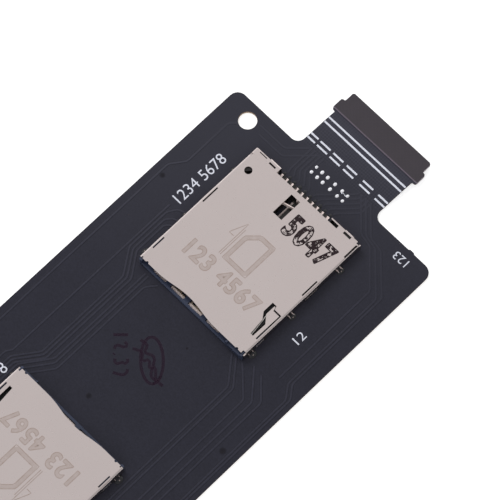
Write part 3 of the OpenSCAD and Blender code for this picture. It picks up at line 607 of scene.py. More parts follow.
def digits(name, text, place, box, thickness, material, bold=0.0, spacing=1.0):
    """Plain digits that fill a box of (width, height) in millimetres, standing on the plane of place."""
    font = bpy.data.curves.new(name, "FONT")
    font.body = text
    font.offset = bold
    font.space_character = spacing
    font.extrude = 0.5 if thickness else 0.0
    font.resolution_u = 3
    source = add_object(name + "_text", font)
    view = bpy.context.evaluated_depsgraph_get()
    mesh = bpy.data.meshes.new_from_object(source.evaluated_get(view))
    bpy.data.objects.remove(source)
    bpy.data.curves.remove(font)
    xs, ys, zs = ([v.co[i] for v in mesh.vertices] for i in range(3))
    low = Vector((min(xs), min(ys), min(zs)))
    size = Vector((max(xs), max(ys), max(zs))) - low
    tall = thickness / size.z if thickness else 1
    wide, high = metres(*box)
    scale = Matrix.Diagonal((wide / size.x, high / size.y, tall, 1))
    mesh.transform(place @ scale @ Matrix.Translation(-low))
    mesh.name = name
    paint(mesh, material)
    return add_object(name, mesh)


def outline(name, text, place, box, width, height, material, bold=0.0, spacing=1.0):
    """Fine line along the outlines of plain digits."""
    flat = digits(name, text, Matrix.Identity(4), box, 0, material, bold, spacing)
    build = bmesh.new()
    build.from_mesh(flat.data)
    bmesh.ops.remove_doubles(build, verts=build.verts, dist=0.0001 * MM)
    inner = [e for e in build.edges if not e.is_boundary]
    bmesh.ops.delete(build, geom=inner, context="EDGES_FACES")
    build.to_mesh(flat.data)
    build.free()
    line = sweep_host(flat, material, width, height, step=0.12 * MM, sink=0.0)
    line.data.transform(place)
    return line


# Finishes

def film_finish(name, relief=0.0):
    """Dark cover layer: faint clouds, paler over the neck's hatched copper, amber cut edge, and painted
    light that makes it paler towards the rear left corner.

    With a relief, in millimetres, the layer has a painted highlight on the crown of a track and painted
    shade on its flanks.
    """
    film = settings("circuit_film")
    f = Finish(name)
    hatch_low = FILM_END / MM - HATCH_START
    hatch_high = FILM_END / MM - HATCH_END
    hatched = f.y.ramp(hatch_low, hatch_low + 0.5) * (1 - f.y.ramp(hatch_high, hatch_high + 0.1))
    pitch = film.hatch_pitch / MM * 2
    hatch = f.wave(f.x + f.y, pitch) * f.wave(f.x - f.y, pitch) * hatched
    clouds = f.noise(0.35, 3)
    peel = f.noise(2.2, 2)
    grain = f.noise(14, 2)
    mottle = f.noise(5, 3, 0.6).ramp(0.3, 0.7)
    light = tinted(film.ink, 1.45)
    # Painted light: the paler tone that the layer takes towards the rear left corner.
    painted_lit_tone = [c + film.painted_light_haze * film.ink[0] for c in light]
    tone = (clouds * 0.5 + peel * 0.9 + hatch * 0.9 + mottle * 0.6 - 0.45).clamped()
    # Painted light: the share of the paler tone rises towards the rear left corner.
    painted_light_slope = (f.y - f.x * 0.7).ramp(-30, 2)
    top = f.mix(painted_light_slope * 0.7 + clouds * 0.1, f.mix(tone, film.ink, light), painted_lit_tone)
    top = f.scale(top, 1 + f.y.ramp(hatch_low - 1.2, hatch_high + 0.3) * 0.42 + hatch * 0.14)
    # Painted highlight on each track's crown and painted shade on its flanks, weaker towards the neck.
    if relief:
        rise = (f.z - BOARD_TOP / MM) * (1 / relief)
        painted_shade_flank = rise.ramp(0.05, 0.3) * (1 - rise.ramp(0.5, 0.8))
        clear = 1 - f.y.ramp(-7, -3) * 0.6
        top = f.scale(top, 1 + (rise.ramp(0.6, 0.95) * 0.4 - painted_shade_flank * 0.35) * clear)
    residue = f.specks(0.32, 0.06) * f.noise(0.2, 1).ramp(0.5, 0.62)
    return f.finish(
        Base_Color=f.mix(f.upright(0.3, 0.7), f.mix(residue, top, FLUX_SPECKS), film.edge),
        Roughness=film.roughness + (grain - 0.5) * 0.12 + (clouds - 0.5) * 0.08,
        Specular_IOR_Level=0.16,
        Normal=f.bump(peel * 0.35 + grain * 0.12 + hatch * 0.16 + f.specks(0.45, 0.05) * 0.8, 0.02),
    )


def laminate_finish(name, tint, weave_depth, edge, painted_highlight_y=None):
    """Glass laminate: woven relief, cloudy resin, a paler cut edge, and a painted highlight on the top face
    beside a given near edge.
    """
    f = Finish(name)
    weave = f.weave(0.5)
    clouds = f.noise(0.6, 4)
    grain = f.noise(9, 3)
    sawn_edge_and_highlight = f.upright(0.3, 0.7)
    # Painted highlight: a strip of the top face beside the near edge takes the edge's pale colour.
    if painted_highlight_y is not None:
        sawn_edge_and_highlight = sawn_edge_and_highlight.math("MAXIMUM", 0.55 * (1 - f.y.ramp(painted_highlight_y + 0.05, painted_highlight_y + 0.12)))
    face = f.shades((clouds * 0.8 + weave * 0.12).clamped(), tint, 1, 1.35)
    return f.finish(
        Base_Color=f.mix(sawn_edge_and_highlight, face, edge),
        Roughness=0.46 + (grain - 0.5) * 0.2,
        Specular_IOR_Level=0.4,
        Normal=f.bump(weave * 0.3 + grain * 0.3 + clouds * 0.4, weave_depth),
    )


def steel_finish(name, etched=0.0):
    """Rolled stainless sheet: lengthways grain, soft mottling, and an uneven tint where it is etched."""
    metal = settings("circuit_metal")
    f = Finish(name)
    rolled = f.noise(9, 3, 0.6, (3.0, 0.5, 1.0))
    mottle = f.noise(2.4, 4, 0.6)
    tone = (mottle * 0.6 + f.noise(0.25, 2) * 0.5 + rolled * 0.3 - 0.2).clamped()
    sheet = f.shades(tone, metal.steel, 0.955, 1.04)
    if etched:
        fade = f.noise(1.6, 4, 0.6).ramp(0.2, 0.8)
        sheet = f.mix(etched * (0.55 + fade * 0.45), sheet, settings("circuit_print").etch)
    skin = (mottle - 0.5) * 0.12 + (rolled - 0.5) * 0.1
    return f.finish(
        Base_Color=sheet,
        Metallic=1.0,
        Roughness=metal.roughness + skin - f.upright(0.2, 0.8) * 0.12,
        Normal=f.bump(rolled * 0.5 + mottle * 0.5, 0.0012),
    )


def moulding_finish(name, tint, roughness, coat, comb_tint_and_shade=None):
    """Moulded plastic: flow clouds, fine spark-eroded skin, a thin sheen, and a darker tint at the comb,
    partly its own colour and partly painted shade between the tails.
    """
    f = Finish(name)
    flow = f.noise(0.8, 4, 0.55, (0.5, 1.6, 1))
    skin = f.noise(16, 2)
    face = f.shades(flow, tint, 0.75, 1.35)
    # Darker tint towards the comb: partly the ribs' own colour, partly painted shade between the tails.
    if comb_tint_and_shade is not None:
        from_middle = abs(f.y - SOCKET_MID_Y / MM)
        face = f.mix(from_middle.ramp(MOUTH_TINT_END, COMB_TINT_START), face, comb_tint_and_shade)
    return f.finish(
        Base_Color=face,
        Roughness=roughness + (skin - 0.5) * 0.16 + (flow - 0.5) * 0.1,
        Specular_IOR_Level=0.3,
        Coat_Weight=coat * flow,
        Coat_Roughness=0.25,
        Normal=f.bump(skin * 0.6 + flow * 0.4, 0.006),
    )


def wire_finish():
    """Drawn spring wire: bright, with faint scores."""
    tint = settings("circuit_metal").spring
    f = Finish("spring_wire")
    scores = f.noise(7, 3, 0.6, (1, 0.3, 1))
    return f.mottled(scores, (tinted(tint, 0.8), tint), (0.2, 0.16), 0.004, Metallic=1.0)


def contact_finish():
    """Contact strip: tinned tails and front plates, gold over the spring beams."""
    metal = settings("circuit_metal")
    f = Finish("contact_strip")
    front, rear = (abs(corner.y - SOCKET_MID_Y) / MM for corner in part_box("socket_1_contact_1"))
    from_middle = abs(f.y - SOCKET_MID_Y / MM)
    gold = from_middle.ramp(front + 0.22, front + 0.28) * (1 - from_middle.ramp(rear - 7, rear - 6))
    tails = from_middle.ramp(rear - 2, rear - 1.5)
    stain = f.noise(3, 4, 0.6)
    strip = f.shades(stain, metal.tin, 0.92)
    plated = f.shades(stain, metal.gold, 0.85)
    return f.finish(
        Base_Color=f.mix(gold, strip, plated),
        Metallic=gold + tails * 0.7,
        Roughness=0.26 + stain * 0.18,
        Normal=f.bump(f.noise(20, 2), 0.0015),
    )


def plug_contact_finish():
    """Gold-plated plug contacts."""
    tint = settings("circuit_metal").gold
    f = Finish("plug_gold")
    return f.mottled(f.noise(5, 3), (tinted(tint, 0.85), tint), (0.22, 0.14), 0.0015, Metallic=1.0)


def solder_finish(name, shade):
    """Reflowed solder: bright skin with a grainy frost; a shade below 1 gives a darker copy, painted shade.
    """
    tint = tinted(settings("circuit_metal").solder, shade)
    f = Finish(name)
    frost = f.noise(12, 4, 0.65)
    return f.finish(
        Base_Color=f.shades(frost, tint, 0.7),
        Metallic=1.0,
        Roughness=0.16 + frost * 0.22,
        Normal=f.bump(frost * 0.4 + f.noise(3, 2) * 0.6, 0.02),
    )


def tin_finish():
    """Pale tinned test pads."""
    f = Finish("pad_tin")
    colours = (0.72, 0.72, 0.76), (0.92, 0.92, 0.98)
    return f.mottled(f.noise(6, 3), colours, (0.3, 0.15), 0.01, Metallic=0.5)


def white_finish():
    """Screen-printed white: chalky, a little thin in places."""
    tint = settings("circuit_print").white
    f = Finish("white_print")
    thin = f.noise(5, 4, 0.6)
    screen = f.weave(0.12)
    return f.finish(
        Base_Color=f.shades((thin * 0.8 + screen * 0.08).clamped(), tint, 0.8),
        Roughness=0.5 + thin * 0.2,
        Normal=f.bump(thin + screen * 0.15, 0.006),
    )


def black_ink_finish(name, bare):
    """Blotchy marking ink that leaves small islands of bare metal."""
    tint = settings("circuit_print").black
    f = Finish(name)
    blots = f.noise(2.6, 3, 0.6)
    fine = f.noise(9, 2)
    return f.finish(
        Base_Color=f.shades(fine, tint, 1, 3),
        Roughness=0.5 + fine * 0.3,
        Specular_IOR_Level=0.2,
        Alpha=(blots * 0.75 + fine * 0.25).ramp(bare - 0.03, bare + 0.05),
        Normal=f.bump(blots, 0.004),
    )


def pen_finish():
    """Marker ink that has sunk into the cover layer."""
    tint = settings("circuit_print").pen
    f = Finish("marker_ink")
    dry = f.noise(2.2, 4, 0.65)
    thin = 0.35 + dry * 0.4
    return f.mottled(dry, (tint, tinted(tint, 0.6)), (0.45, 0.2), 0.002, Specular_IOR_Level=0.3, Alpha=thin)


def stain_finish(height_mm):
    """Dried flux, clear at its rim and deeper in its middle."""
    f = Finish("flux_stain")
    dry = f.noise(2.5, 3)
    soft = (f.z - BOARD_TOP / MM).ramp(0, height_mm)
    return f.finish(
        Base_Color=f.mix(dry, *FLUX_STAIN),
        Roughness=0.35 + dry * 0.2,
        Specular_IOR_Level=0.2,
        Alpha=soft * (0.1 + dry * 0.5),
    )


def floor_finish(tint):
    """Pale floor paint with a faint glow."""
    f = Finish("floor_paint")
    grain = f.noise(0.05, 2)
    return f.finish(
        Base_Color=f.shades(grain, tint, 1, 0.98),
        Roughness=0.8 + grain * 0.1,
        Specular_IOR_Level=0.0,
        Emission_Color=(1, 1, 1),
        Emission_Strength=0.55,
    )


# Operators. Places in them are points on the board, or in a socket's own frame, in millimetres

class CIRCUIT_OT_film(Operator):
    """Finishes of the film, its stiffeners and the plate on the tab"""

    bl_idname = "circuit.film"
    bl_label = "Film"

    def execute(self, context):
        film = context.scene.circuit_film
        dress(lambda n: n == "flex_circuit", film_finish("cover_layer"))
        board = laminate_finish("board_laminate", film.laminate, 0.006, tinted(film.laminate, 1.6))
        dress(lambda n: n == "board_stiffener", board)
        # The tab's plate gets a painted highlight along its near edge.
        near_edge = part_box("tab_stiffener")[0].y / MM
        plate = laminate_finish("tab_laminate", film.tab, 0.002, tinted(film.tab, 7), near_edge)
        dress(lambda n: n == "tab_stiffener", plate)
        return {"FINISHED"}


class CIRCUIT_OT_tracks(Operator):
    """Relief of the copper tracks under the cover layer"""

    bl_idname = "circuit.tracks"
    bl_label = "Tracks"

    LEFT = [
        [
            (2.7, -11.7), (1.9, -12.0), (1.3, -13.0), (1.3, -18.3),
            (3.16, -21.0), (3.16, -32.4), (1.25, -35.0), (1.25, -54.0),
        ],
        [
            (2.8, -12.9), (2.3, -13.0), (1.73, -13.7), (1.73, -18.2),
            (3.55, -20.8), (3.55, -32.5), (1.62, -35.1), (1.62, -53.6),
        ],
        [
            (2.8, -13.6), (2.15, -14.2), (2.15, -18.1), (3.96, -20.6),
            (3.96, -32.6), (2.0, -35.2), (2.0, -53.2),
        ],
        [(4.58, -19.2), (4.58, -32.0), (2.38, -35.1), (2.38, -52.8)],
        [(4.98, -19.2), (4.98, -32.3), (2.9, -35.2)],
        [(6.4, -19.2), (5.53, -20.3), (5.53, -32.6), (3.7, -35.1)],
        [(0.93, -12.2), (0.93, -34.4), (0.5, -35.0), (0.5, -54.4)],
    ]
    EDGE = [
        [(-0.55, -0.95), (-1.2, -1.6), (-1.2, -7.6), (-2.38, -9.2), (-2.38, -55.0)],
        [(1.3, 0.55), (4.9, 0.55), (6.8, 2.45)],
        [(1.9, -0.25), (5.3, -0.25), (8.0, 2.45)],
        [(14.0, 2.5), (17.1, -0.6), (18.6, -0.9), (22.05, -4.4), (22.05, -17.4)],
        [
            (14.7, 2.5), (17.6, -0.4), (19.2, -0.7), (23.12, -4.6),
            (23.12, -17.2), (24.2, -18.6), (24.2, -54.5),
        ],
        [
            (15.4, 2.5), (18.1, -0.2), (19.8, -0.5), (23.46, -4.1),
            (23.46, -16.9), (24.52, -18.3), (24.52, -54.9),
        ],
    ]
    RIGHT = [
        [(16.9, -19.0), (19.08, -21.7), (19.08, -52.0)],
        [(17.5, -19.0), (19.6, -21.5), (19.6, -52.4)],
        [(18.3, -18.9), (21.17, -21.6), (21.17, -52.8)],
        [(19.4, -18.3), (21.95, -21.2), (21.95, -53.2)],
        [(20.6, -18.5), (22.65, -20.6), (22.65, -53.4)],
    ]

    # Tracks to the neck: their end and middle, their pitch, how far each half moves out, and the first tail
    NECK_END = 2.54
    NECK_MIDDLE = 11.2
    NECK_PITCH = 0.42
    NECK_GAP = 2.4
    FIRST_TAIL = 7.04

    def execute(self, context):
        film = context.scene.circuit_film
        # This cover layer carries painted highlights on the tracks' crowns and painted shade on their
        # flanks.
        material = film_finish("cover_over_tracks", film.track_height / MM)
        ground = Ground()
        sizes = film.track_width, film.track_height, film.track_radius
        groups = {"left": self.LEFT, "edge": self.EDGE, "right": self.RIGHT, "neck": self.neck()}
        for name, paths in groups.items():
            ridge = sweep(f"tracks_{name}", paths, material, *sizes)
            for face in ridge.data.polygons:
                face.use_smooth = True
            seat(ground.lay(ridge))
        return {"FINISHED"}

    def neck(self):
        """Tracks that run from the tails of socket 1 towards the neck, up to the printed dashes."""
        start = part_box("socket_1_contact_1")[1].y / MM + 0.5
        end = self.NECK_END
        paths = []
        for k in range(TAILS):
            tail = self.FIRST_TAIL + TAIL_PITCH * k
            side = 1 if k >= TAILS / 2 else -1
            lane = self.NECK_MIDDLE + (k - (TAILS - 1) / 2) * self.NECK_PITCH + side * self.NECK_GAP
            bend = min(abs(tail - lane), end - start - 0.4)
            paths.append([(tail, start), (tail, start + 0.2), (lane, start + 0.3 + bend), (lane, end)])
        return paths


class CIRCUIT_OT_print(Operator):
    """White bars, dashes, pads and plain digits on the film"""

    bl_idname = "circuit.print"
    bl_label = "White print"

    # Ends along X and rows along Y; a pad's (length, width, height)
    BAR_ENDS = (5.77, 16.83)
    BAR_ROWS = [5.5, 6.14]
    DASH_ENDS = [(5.64, 6.7), (7.0, 8.45), (8.85, 10.3), (10.8, 12.25), (13.15, 14.6), (15.35, 16.72)]
    DASH_ROWS = [3.14, 3.68]
    PAD_COLUMNS = [8.69, 9.53, 10.33, 11.39, 12.42, 13.19]
    PAD_ROWS = [0.62, 1.37]
    PAD_SIZE = (0.36, 0.44, 0.07)
    LINK = [(12.42, 1.37), (12.62, 1.05), (12.76, 1.39), (12.97, 1.09), (13.19, 1.47)]
    LINK_WIDTH = 0.14

    def execute(self, context):
        ink = context.scene.circuit_print
        material = white_finish()
        ground = Ground()
        thick = ink.thickness
        over_tracks = thick + context.scene.circuit_film.track_height
        spans = [(self.BAR_ENDS, row) for row in self.BAR_ROWS]
        spans += [(ends, row) for row in self.DASH_ROWS for ends in self.DASH_ENDS]
        places = [metres((a + b) / 2, row, 0) for (a, b), row in spans]
        sizes = [((b - a) * MM, ink.bar_width, thick) for (a, b), row in spans]
        pads = [metres(x, y, 0) for y in self.PAD_ROWS for x in self.PAD_COLUMNS]
        pad_sizes = [metres(*self.PAD_SIZE)] * len(pads)
        pieces = [
            stamp("print_bars", unit_slab(), places, sizes, material),
            stamp("print_pads", unit_drop(), pads, pad_sizes, tin_finish(), 0.08, seed=3),
            sweep("print_link", [self.LINK], material, self.LINK_WIDTH * MM, thick * 2),
        ]
        for name, text, foot, turn, box in self.labels(ink):
            place = shifted(*foot) @ Matrix.Rotation(math.radians(turn), 4, "Z")
            pieces.append(digits(f"print_{name}", text, place, box, over_tracks, material, -0.004))
        for piece in pieces:
            seat(ground.lay(piece))
        return {"FINISHED"}

    def labels(self, ink):
        """Name, text, foot of the first digit, turn in degrees and (width, height) of each label."""
        return [
            ("scale_1", ink.scale_digits, (1.7, -11.4), 90, (6.8, 1.25)),
            ("scale_2", ink.scale_digits, (2.2, -42.9), 90, (6.8, 1.25)),
            ("number_3", "123", (22.7, 0.77), 180, (1.68, 0.92)),
            ("number_4", "12", (21.0, -13.6), 90, (1.25, 0.95)),
        ]


class CIRCUIT_OT_covers(Operator):
    """Steel of the two covers"""

    bl_idname = "circuit.covers"
    bl_label = "Covers"

    def execute(self, context):
        dress(lambda n: n.endswith("_shell"), steel_finish("cover_steel"))
        return {"FINISHED"}


class CIRCUIT_OT_marks(Operator):
    """Etched card and arrow, etched digits and inked digits on the covers"""

    bl_idname = "circuit.marks"
    bl_label = "Cover marks"

    ARROW = [
        [(-2.08, -10.95), (-2.08, -6.55), (-2.95, -8.6), (-2.3, -8.6)],
        [(-1.86, -7.3), (-1.86, -10.95)],
    ]

    # Foot and (width, height) of the digits, their spacing, and a fine line's width and height
    ETCHED_FOOT = (-4.88, -13.5)
    ETCHED_BOX = (9.8, 2.0)
    INKED_FOOT = (0.62, -4.95)
    INKED_BOX = (5.9, 2.7)
    SPACING = 1.12
    LINE = (0.1 * MM, 0.002 * MM)

    def execute(self, context):
        marks = context.scene.circuit_print
        line = steel_finish("etched_line", 1.0)
        field = steel_finish("etched_field", 0.5)
        for number in (1, 2):
            self.etch(number, marks, line, field)
        place = self.on_cover(1) @ shifted(*self.INKED_FOOT)
        text = marks.cover_digits
        body = black_ink_finish("ink_body", 0.47)
        rim = black_ink_finish("ink_rim", 0.34)
        seat(digits("ink_digits", text, place, self.INKED_BOX, 0.002 * MM, body, 0.04, self.SPACING))
        rims = (0.12 * MM, 0.003 * MM, rim, 0.03, self.SPACING)
        seat(outline("ink_rims", text, place, self.INKED_BOX, *rims))
        return {"FINISHED"}

    def on_cover(self, number):
        """Frame of a socket, raised to the top of its cover."""
        return socket_place(number) @ Matrix.Translation((0, 0, COVER_TOP - BOARD_TOP))

    def etch(self, number, marks, line, field):
        """Etched outline of a card, an arrow and digits on one cover."""
        up = self.on_cover(number)
        width = marks.etch_width
        rims = [self.card(d * width / MM) for d in (-0.5, 0, 0.5)]
        parts = [
            sweep(f"etch_field_{number}", rims[1:2], field, width, 0.001 * MM, closed=True),
            sweep(f"etch_card_{number}", rims[::2], line, *self.LINE, closed=True),
            sweep(f"etch_arrow_{number}", self.ARROW, line, *self.LINE),
        ]
        for part in parts:
            part.data.transform(up)
        place = up @ shifted(*self.ETCHED_FOOT)
        given = marks.etch_digits, place, self.ETCHED_BOX
        look = 0.025, self.SPACING
        parts.append(digits(f"etch_digits_{number}", *given, 0.001 * MM, field, *look))
        parts.append(outline(f"etch_outline_{number}", *given, *self.LINE, line, *look))
        for part in parts:
            seat(part)

    def card(self, d):
        """Card outline with a cut corner, moved outwards by d."""
        left, right, top, foot = -1.27 - d, 1.54 + d, -6.8 + d, -10.8 - d
        cut = 1.1 + d * 0.6
        return [(left, foot), (left, top - cut), (left + cut, top), (right, top), (right, foot)]


class CIRCUIT_OT_mouldings(Operator):
    """Bases and sliders of the sockets, and the plug's housing"""

    bl_idname = "circuit.mouldings"
    bl_label = "Mouldings"

    def execute(self, context):
        metal = context.scene.circuit_metal
        base = moulding_finish("base_moulding", metal.moulding, 0.34, 0.15, metal.comb)
        dress(lambda n: n.endswith("_base"), base)
        dress(lambda n: n.endswith("_slider"), moulding_finish("slider_moulding", metal.slider, 0.42, 0.2))
        dress(lambda n: n == "plug_housing", moulding_finish("plug_moulding", metal.plug, 0.4, 0.15))
        return {"FINISHED"}


class CIRCUIT_OT_contacts(Operator):
    """Contacts, card switches, springs and pins"""

    bl_idname = "circuit.contacts"
    bl_label = "Contacts and springs"

    def execute(self, context):
        drawn = "_spring", "_cam_pin", "_hold_downs"
        dress(lambda n: n.endswith(drawn) and "switch" not in n, wire_finish())
        dress(lambda n: "_contact_" in n or "_switch_" in n, contact_finish())
        dress(lambda n: n == "plug_contacts", plug_contact_finish())
        return {"FINISHED"}


class CIRCUIT_OT_springs(Operator):
    """Return springs as wire helices in place of the CAD springs"""

    bl_idname = "circuit.springs"
    bl_label = "Return springs"

    # Rise of a closed end turn in wire diameters, steps of a turn, and sides of the wire
    CLOSED_RISE = 1.1
    STEPS = 24
    SIDES = 10

    def execute(self, context):
        material = bpy.data.materials["spring_wire"]
        radius = context.scene.circuit_metal.spring_wire / 2
        for number, rearward in ((1, 1), (2, -1)):
            node = f"socket_{number}_spring"
            low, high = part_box(node)
            span = high.y - low.y
            middle = (low + high) / 2
            reach = Vector((0, rearward * span / 2, 0))
            turn = Matrix.Rotation(math.pi * (number - 1), 3, "Z")
            points = [middle - reach + turn @ p for p in self.helix(span, high.z - low.z)]
            edges = [(i, i + 1) for i in range(len(points) - 1)]
            piece = mesh_object(f"return_spring_{number}", points, edges)
            grow(piece, wire_tree(), {"Radius": radius, "Sides": self.SIDES, "Material": material})
            seat(piece)
            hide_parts(node)
            slide = f"socket_{number}_slide"
            travel = next(j for j in frame["joints"] if j["name"] == slide)["range_m"][1]
            1 - travel / span
            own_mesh(piece)
        return {"FINISHED"}

    def helix(self, span, diameter):
        """Middle line of the wire from the slider's end to the rear wall, with closed end turns."""
        metal = settings("circuit_metal")
        wire, turns = metal.spring_wire, metal.spring_turns
        reach = (diameter - wire) / 2
        closed = wire * self.CLOSED_RISE
        rise = (span - wire - 2 * closed) / (turns - 2)
        points = []
        for i in range(turns * self.STEPS + 1):
            t = i / self.STEPS
            closed_turns = min(t, 1) + max(t - turns + 1, 0)
            open_turns = min(max(t - 1, 0), turns - 2)
            along = closed_turns * closed + open_turns * rise
            angle = 2 * math.pi * t
            points.append(Vector((reach * math.cos(angle), wire / 2 + along, reach * math.sin(angle))))
        return points


class CIRCUIT_OT_solder(Operator):
    """Solder at the tails, the covers' feet and the plug's feet"""

    bl_idname = "circuit.solder"
    bl_label = "Solder"

    # Where each kind of joint lies, and its (length, width, height)
    FEET_ROWS = (-3.25, -10.2, -15.9)
    # The feet's dark fillets are flux coloured like the film, partly painted shade in place of the solder's
    # dark reflection.
    DARK_FILLET_OUT = 7.7
    DARK_FILLET_SIZE = (0.82, 0.95, 0.2)
    BEAD_OUT = 7.86
    BEAD_SIZE = (0.26, 0.36, 0.2)
    TAIL_OUT = 0.28
    TAIL_HALF = 0.15
    TAIL_SIZE = (0.42, 0.44, 0.05)
    PLUG_SIZE = (0.2, 0.34, 0.07)
    PLUG_INSET = 0.1

    def execute(self, context):
        seed = context.scene.circuit_metal.solder_seed
        bright = solder_finish("solder", 1.0)
        # The beads use a darker copy of the solder: painted shade.
        painted_shade_solder = solder_finish("solder_dim", 0.6)
        dark_flux_and_shade = moulding_finish("flux_residue", FLUX_AND_PAINTED_SHADE, 0.4, 0.1)
        for number in (1, 2):
            place = socket_place(number)
            groups = [
                ("feet", self.feet(self.DARK_FILLET_OUT), self.DARK_FILLET_SIZE, dark_flux_and_shade),
                ("beads", self.feet(self.BEAD_OUT), self.BEAD_SIZE, painted_shade_solder),
                ("tails", self.tails(number), self.TAIL_SIZE, dark_flux_and_shade),
            ]
            for name, spots, size, material in groups:
                places = [place @ Vector(metres(u, v, 0)) for u, v in spots]
                sizes = [metres(*size)] * len(places)
                name = f"solder_{name}_{number}"
                blobs = stamp(name, unit_drop(), places, sizes, material, 0.14, seed=seed + number)
                seat(blobs)
        self.plug_joints(bright, seed)
        return {"FINISHED"}

    def tails(self, number):
        """Places of the ten tails' joints in the socket's frame."""
        inverse = socket_place(number).inverted()
        low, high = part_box(f"socket_{number}_switch_spring")
        last = max((inverse @ low).x, (inverse @ high).x) / MM - self.TAIL_HALF
        return [(last - TAIL_PITCH * k, self.TAIL_OUT) for k in range(TAILS)]

    def feet(self, out):
        """Places at the cover's six feet, at a distance from the socket's middle."""
        return [(side * out, v) for side in (-1, 1) for v in self.FEET_ROWS]

    def plug_joints(self, material, seed):
        """Joints of the plug's feet under the tab."""
        low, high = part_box("plug_contacts")
        inset = self.PLUG_INSET * MM
        middle = (low.x + high.x) / 2
        places = []
        for y in (low.y + inset, high.y - inset):
            for k in range(PLUG_PINS):
                places.append((middle + (k - (PLUG_PINS - 1) / 2) * PLUG_PITCH * MM, y, 0))
        sizes = [metres(*self.PLUG_SIZE)] * len(places)
        joints = stamp("solder_plug", unit_drop(), places, sizes, material, 0.1, seed=seed)
        joints.data.transform(Matrix.Translation((0, 0, high.z)) @ Matrix.Diagonal((1, 1, -1, 1)))
        joints.data.flip_normals()
        seat(joints)


class CIRCUIT_OT_pen(Operator):
    """Plain digits and strokes in a ring, written on the film with a marker"""

    bl_idname = "circuit.pen"
    bl_label = "Pen mark"

    RING_CENTRE = (11.7, -25.2)
    RING_SIZE = (2.5, 1.15)
    RING_TURN = -43
    RING_STEPS = 34
    RING_OVERLAP = 5
    STROKES = [
        [
            (9.4, -25.7), (10.4, -25.2), (11.3, -26.4), (11.2, -25.0),
            (12.4, -26.3), (12.2, -25.2), (13.6, -26.5),
        ],
        [(9.3, -24.5), (10.4, -24.3), (10.3, -25.4), (11.6, -24.6), (12.8, -26.5), (14.4, -26.3)],
    ]
    DIGITS_FOOT = (6.9, -26.0)
    DIGITS_TURN = -43.3
    DIGITS = [
        [(0.1, 0.0), (0.15, 1.5)],
        [(0.9, 1.15), (1.2, 1.5), (1.5, 1.2), (1.35, 0.8), (0.9, 0.05), (1.6, 0.1)],
        [(2.1, 0.1), (2.2, 0.0)],
        [(2.7, 1.4), (3.1, 1.45), (3.25, 1.1), (2.9, 0.8), (3.25, 0.5), (3.1, 0.05), (2.65, 0.15)],
        [(3.8, 1.4), (4.55, 1.3), (4.1, -0.1)],
    ]

    # A stroke's width and height, and the radius of its bends
    LINE = (0.36 * MM, 0.002 * MM, 0.5 * MM)

    def execute(self, context):
        written = [self.turned(stroke, self.DIGITS_FOOT, self.DIGITS_TURN) for stroke in self.DIGITS]
        paths = [self.turned(self.ring(), self.RING_CENTRE, self.RING_TURN), *self.STROKES, *written]
        piece = sweep("pen_mark", paths, pen_finish(), *self.LINE, sink=0.0005 * MM)
        seat(Ground().lay(piece))
        return {"FINISHED"}

    def ring(self):
        """Points round an ellipse, the last few past its start."""
        along, across = self.RING_SIZE
        angles = [2 * math.pi * k / (self.RING_STEPS - self.RING_OVERLAP) for k in range(self.RING_STEPS)]
        return [(along * math.cos(a), across * math.sin(a)) for a in angles]

    def turned(self, points, foot, degrees):
        """Points turned about their origin, which is then put at the foot."""
        turn = Matrix.Rotation(math.radians(degrees), 2)
        return [tuple(Vector(foot) + turn @ Vector(point)) for point in points]


class CIRCUIT_OT_stains(Operator):
    """Small dried flux stains on the film"""

    bl_idname = "circuit.stains"
    bl_label = "Stains"

    # Place and width of each stain, and the height of all
    SPOTS = [
        (9.9, -32.3, 0.8),
        (23.5, -26.8, 1.0),
        (22.65, -33.1, 0.6),
        (-1.9, -10.5, 0.8),
        (13.3, -21.8, 0.35),
    ]
    HEIGHT = 0.006

    def execute(self, context):
        places = [metres(x, y, 0) for x, y, _ in self.SPOTS]
        sizes = [metres(wide, wide, self.HEIGHT) for _, _, wide in self.SPOTS]
        piece = stamp("flux_stains", unit_drop(), places, sizes, stain_finish(self.HEIGHT))
        seat(Ground().lay(piece))
        return {"FINISHED"}


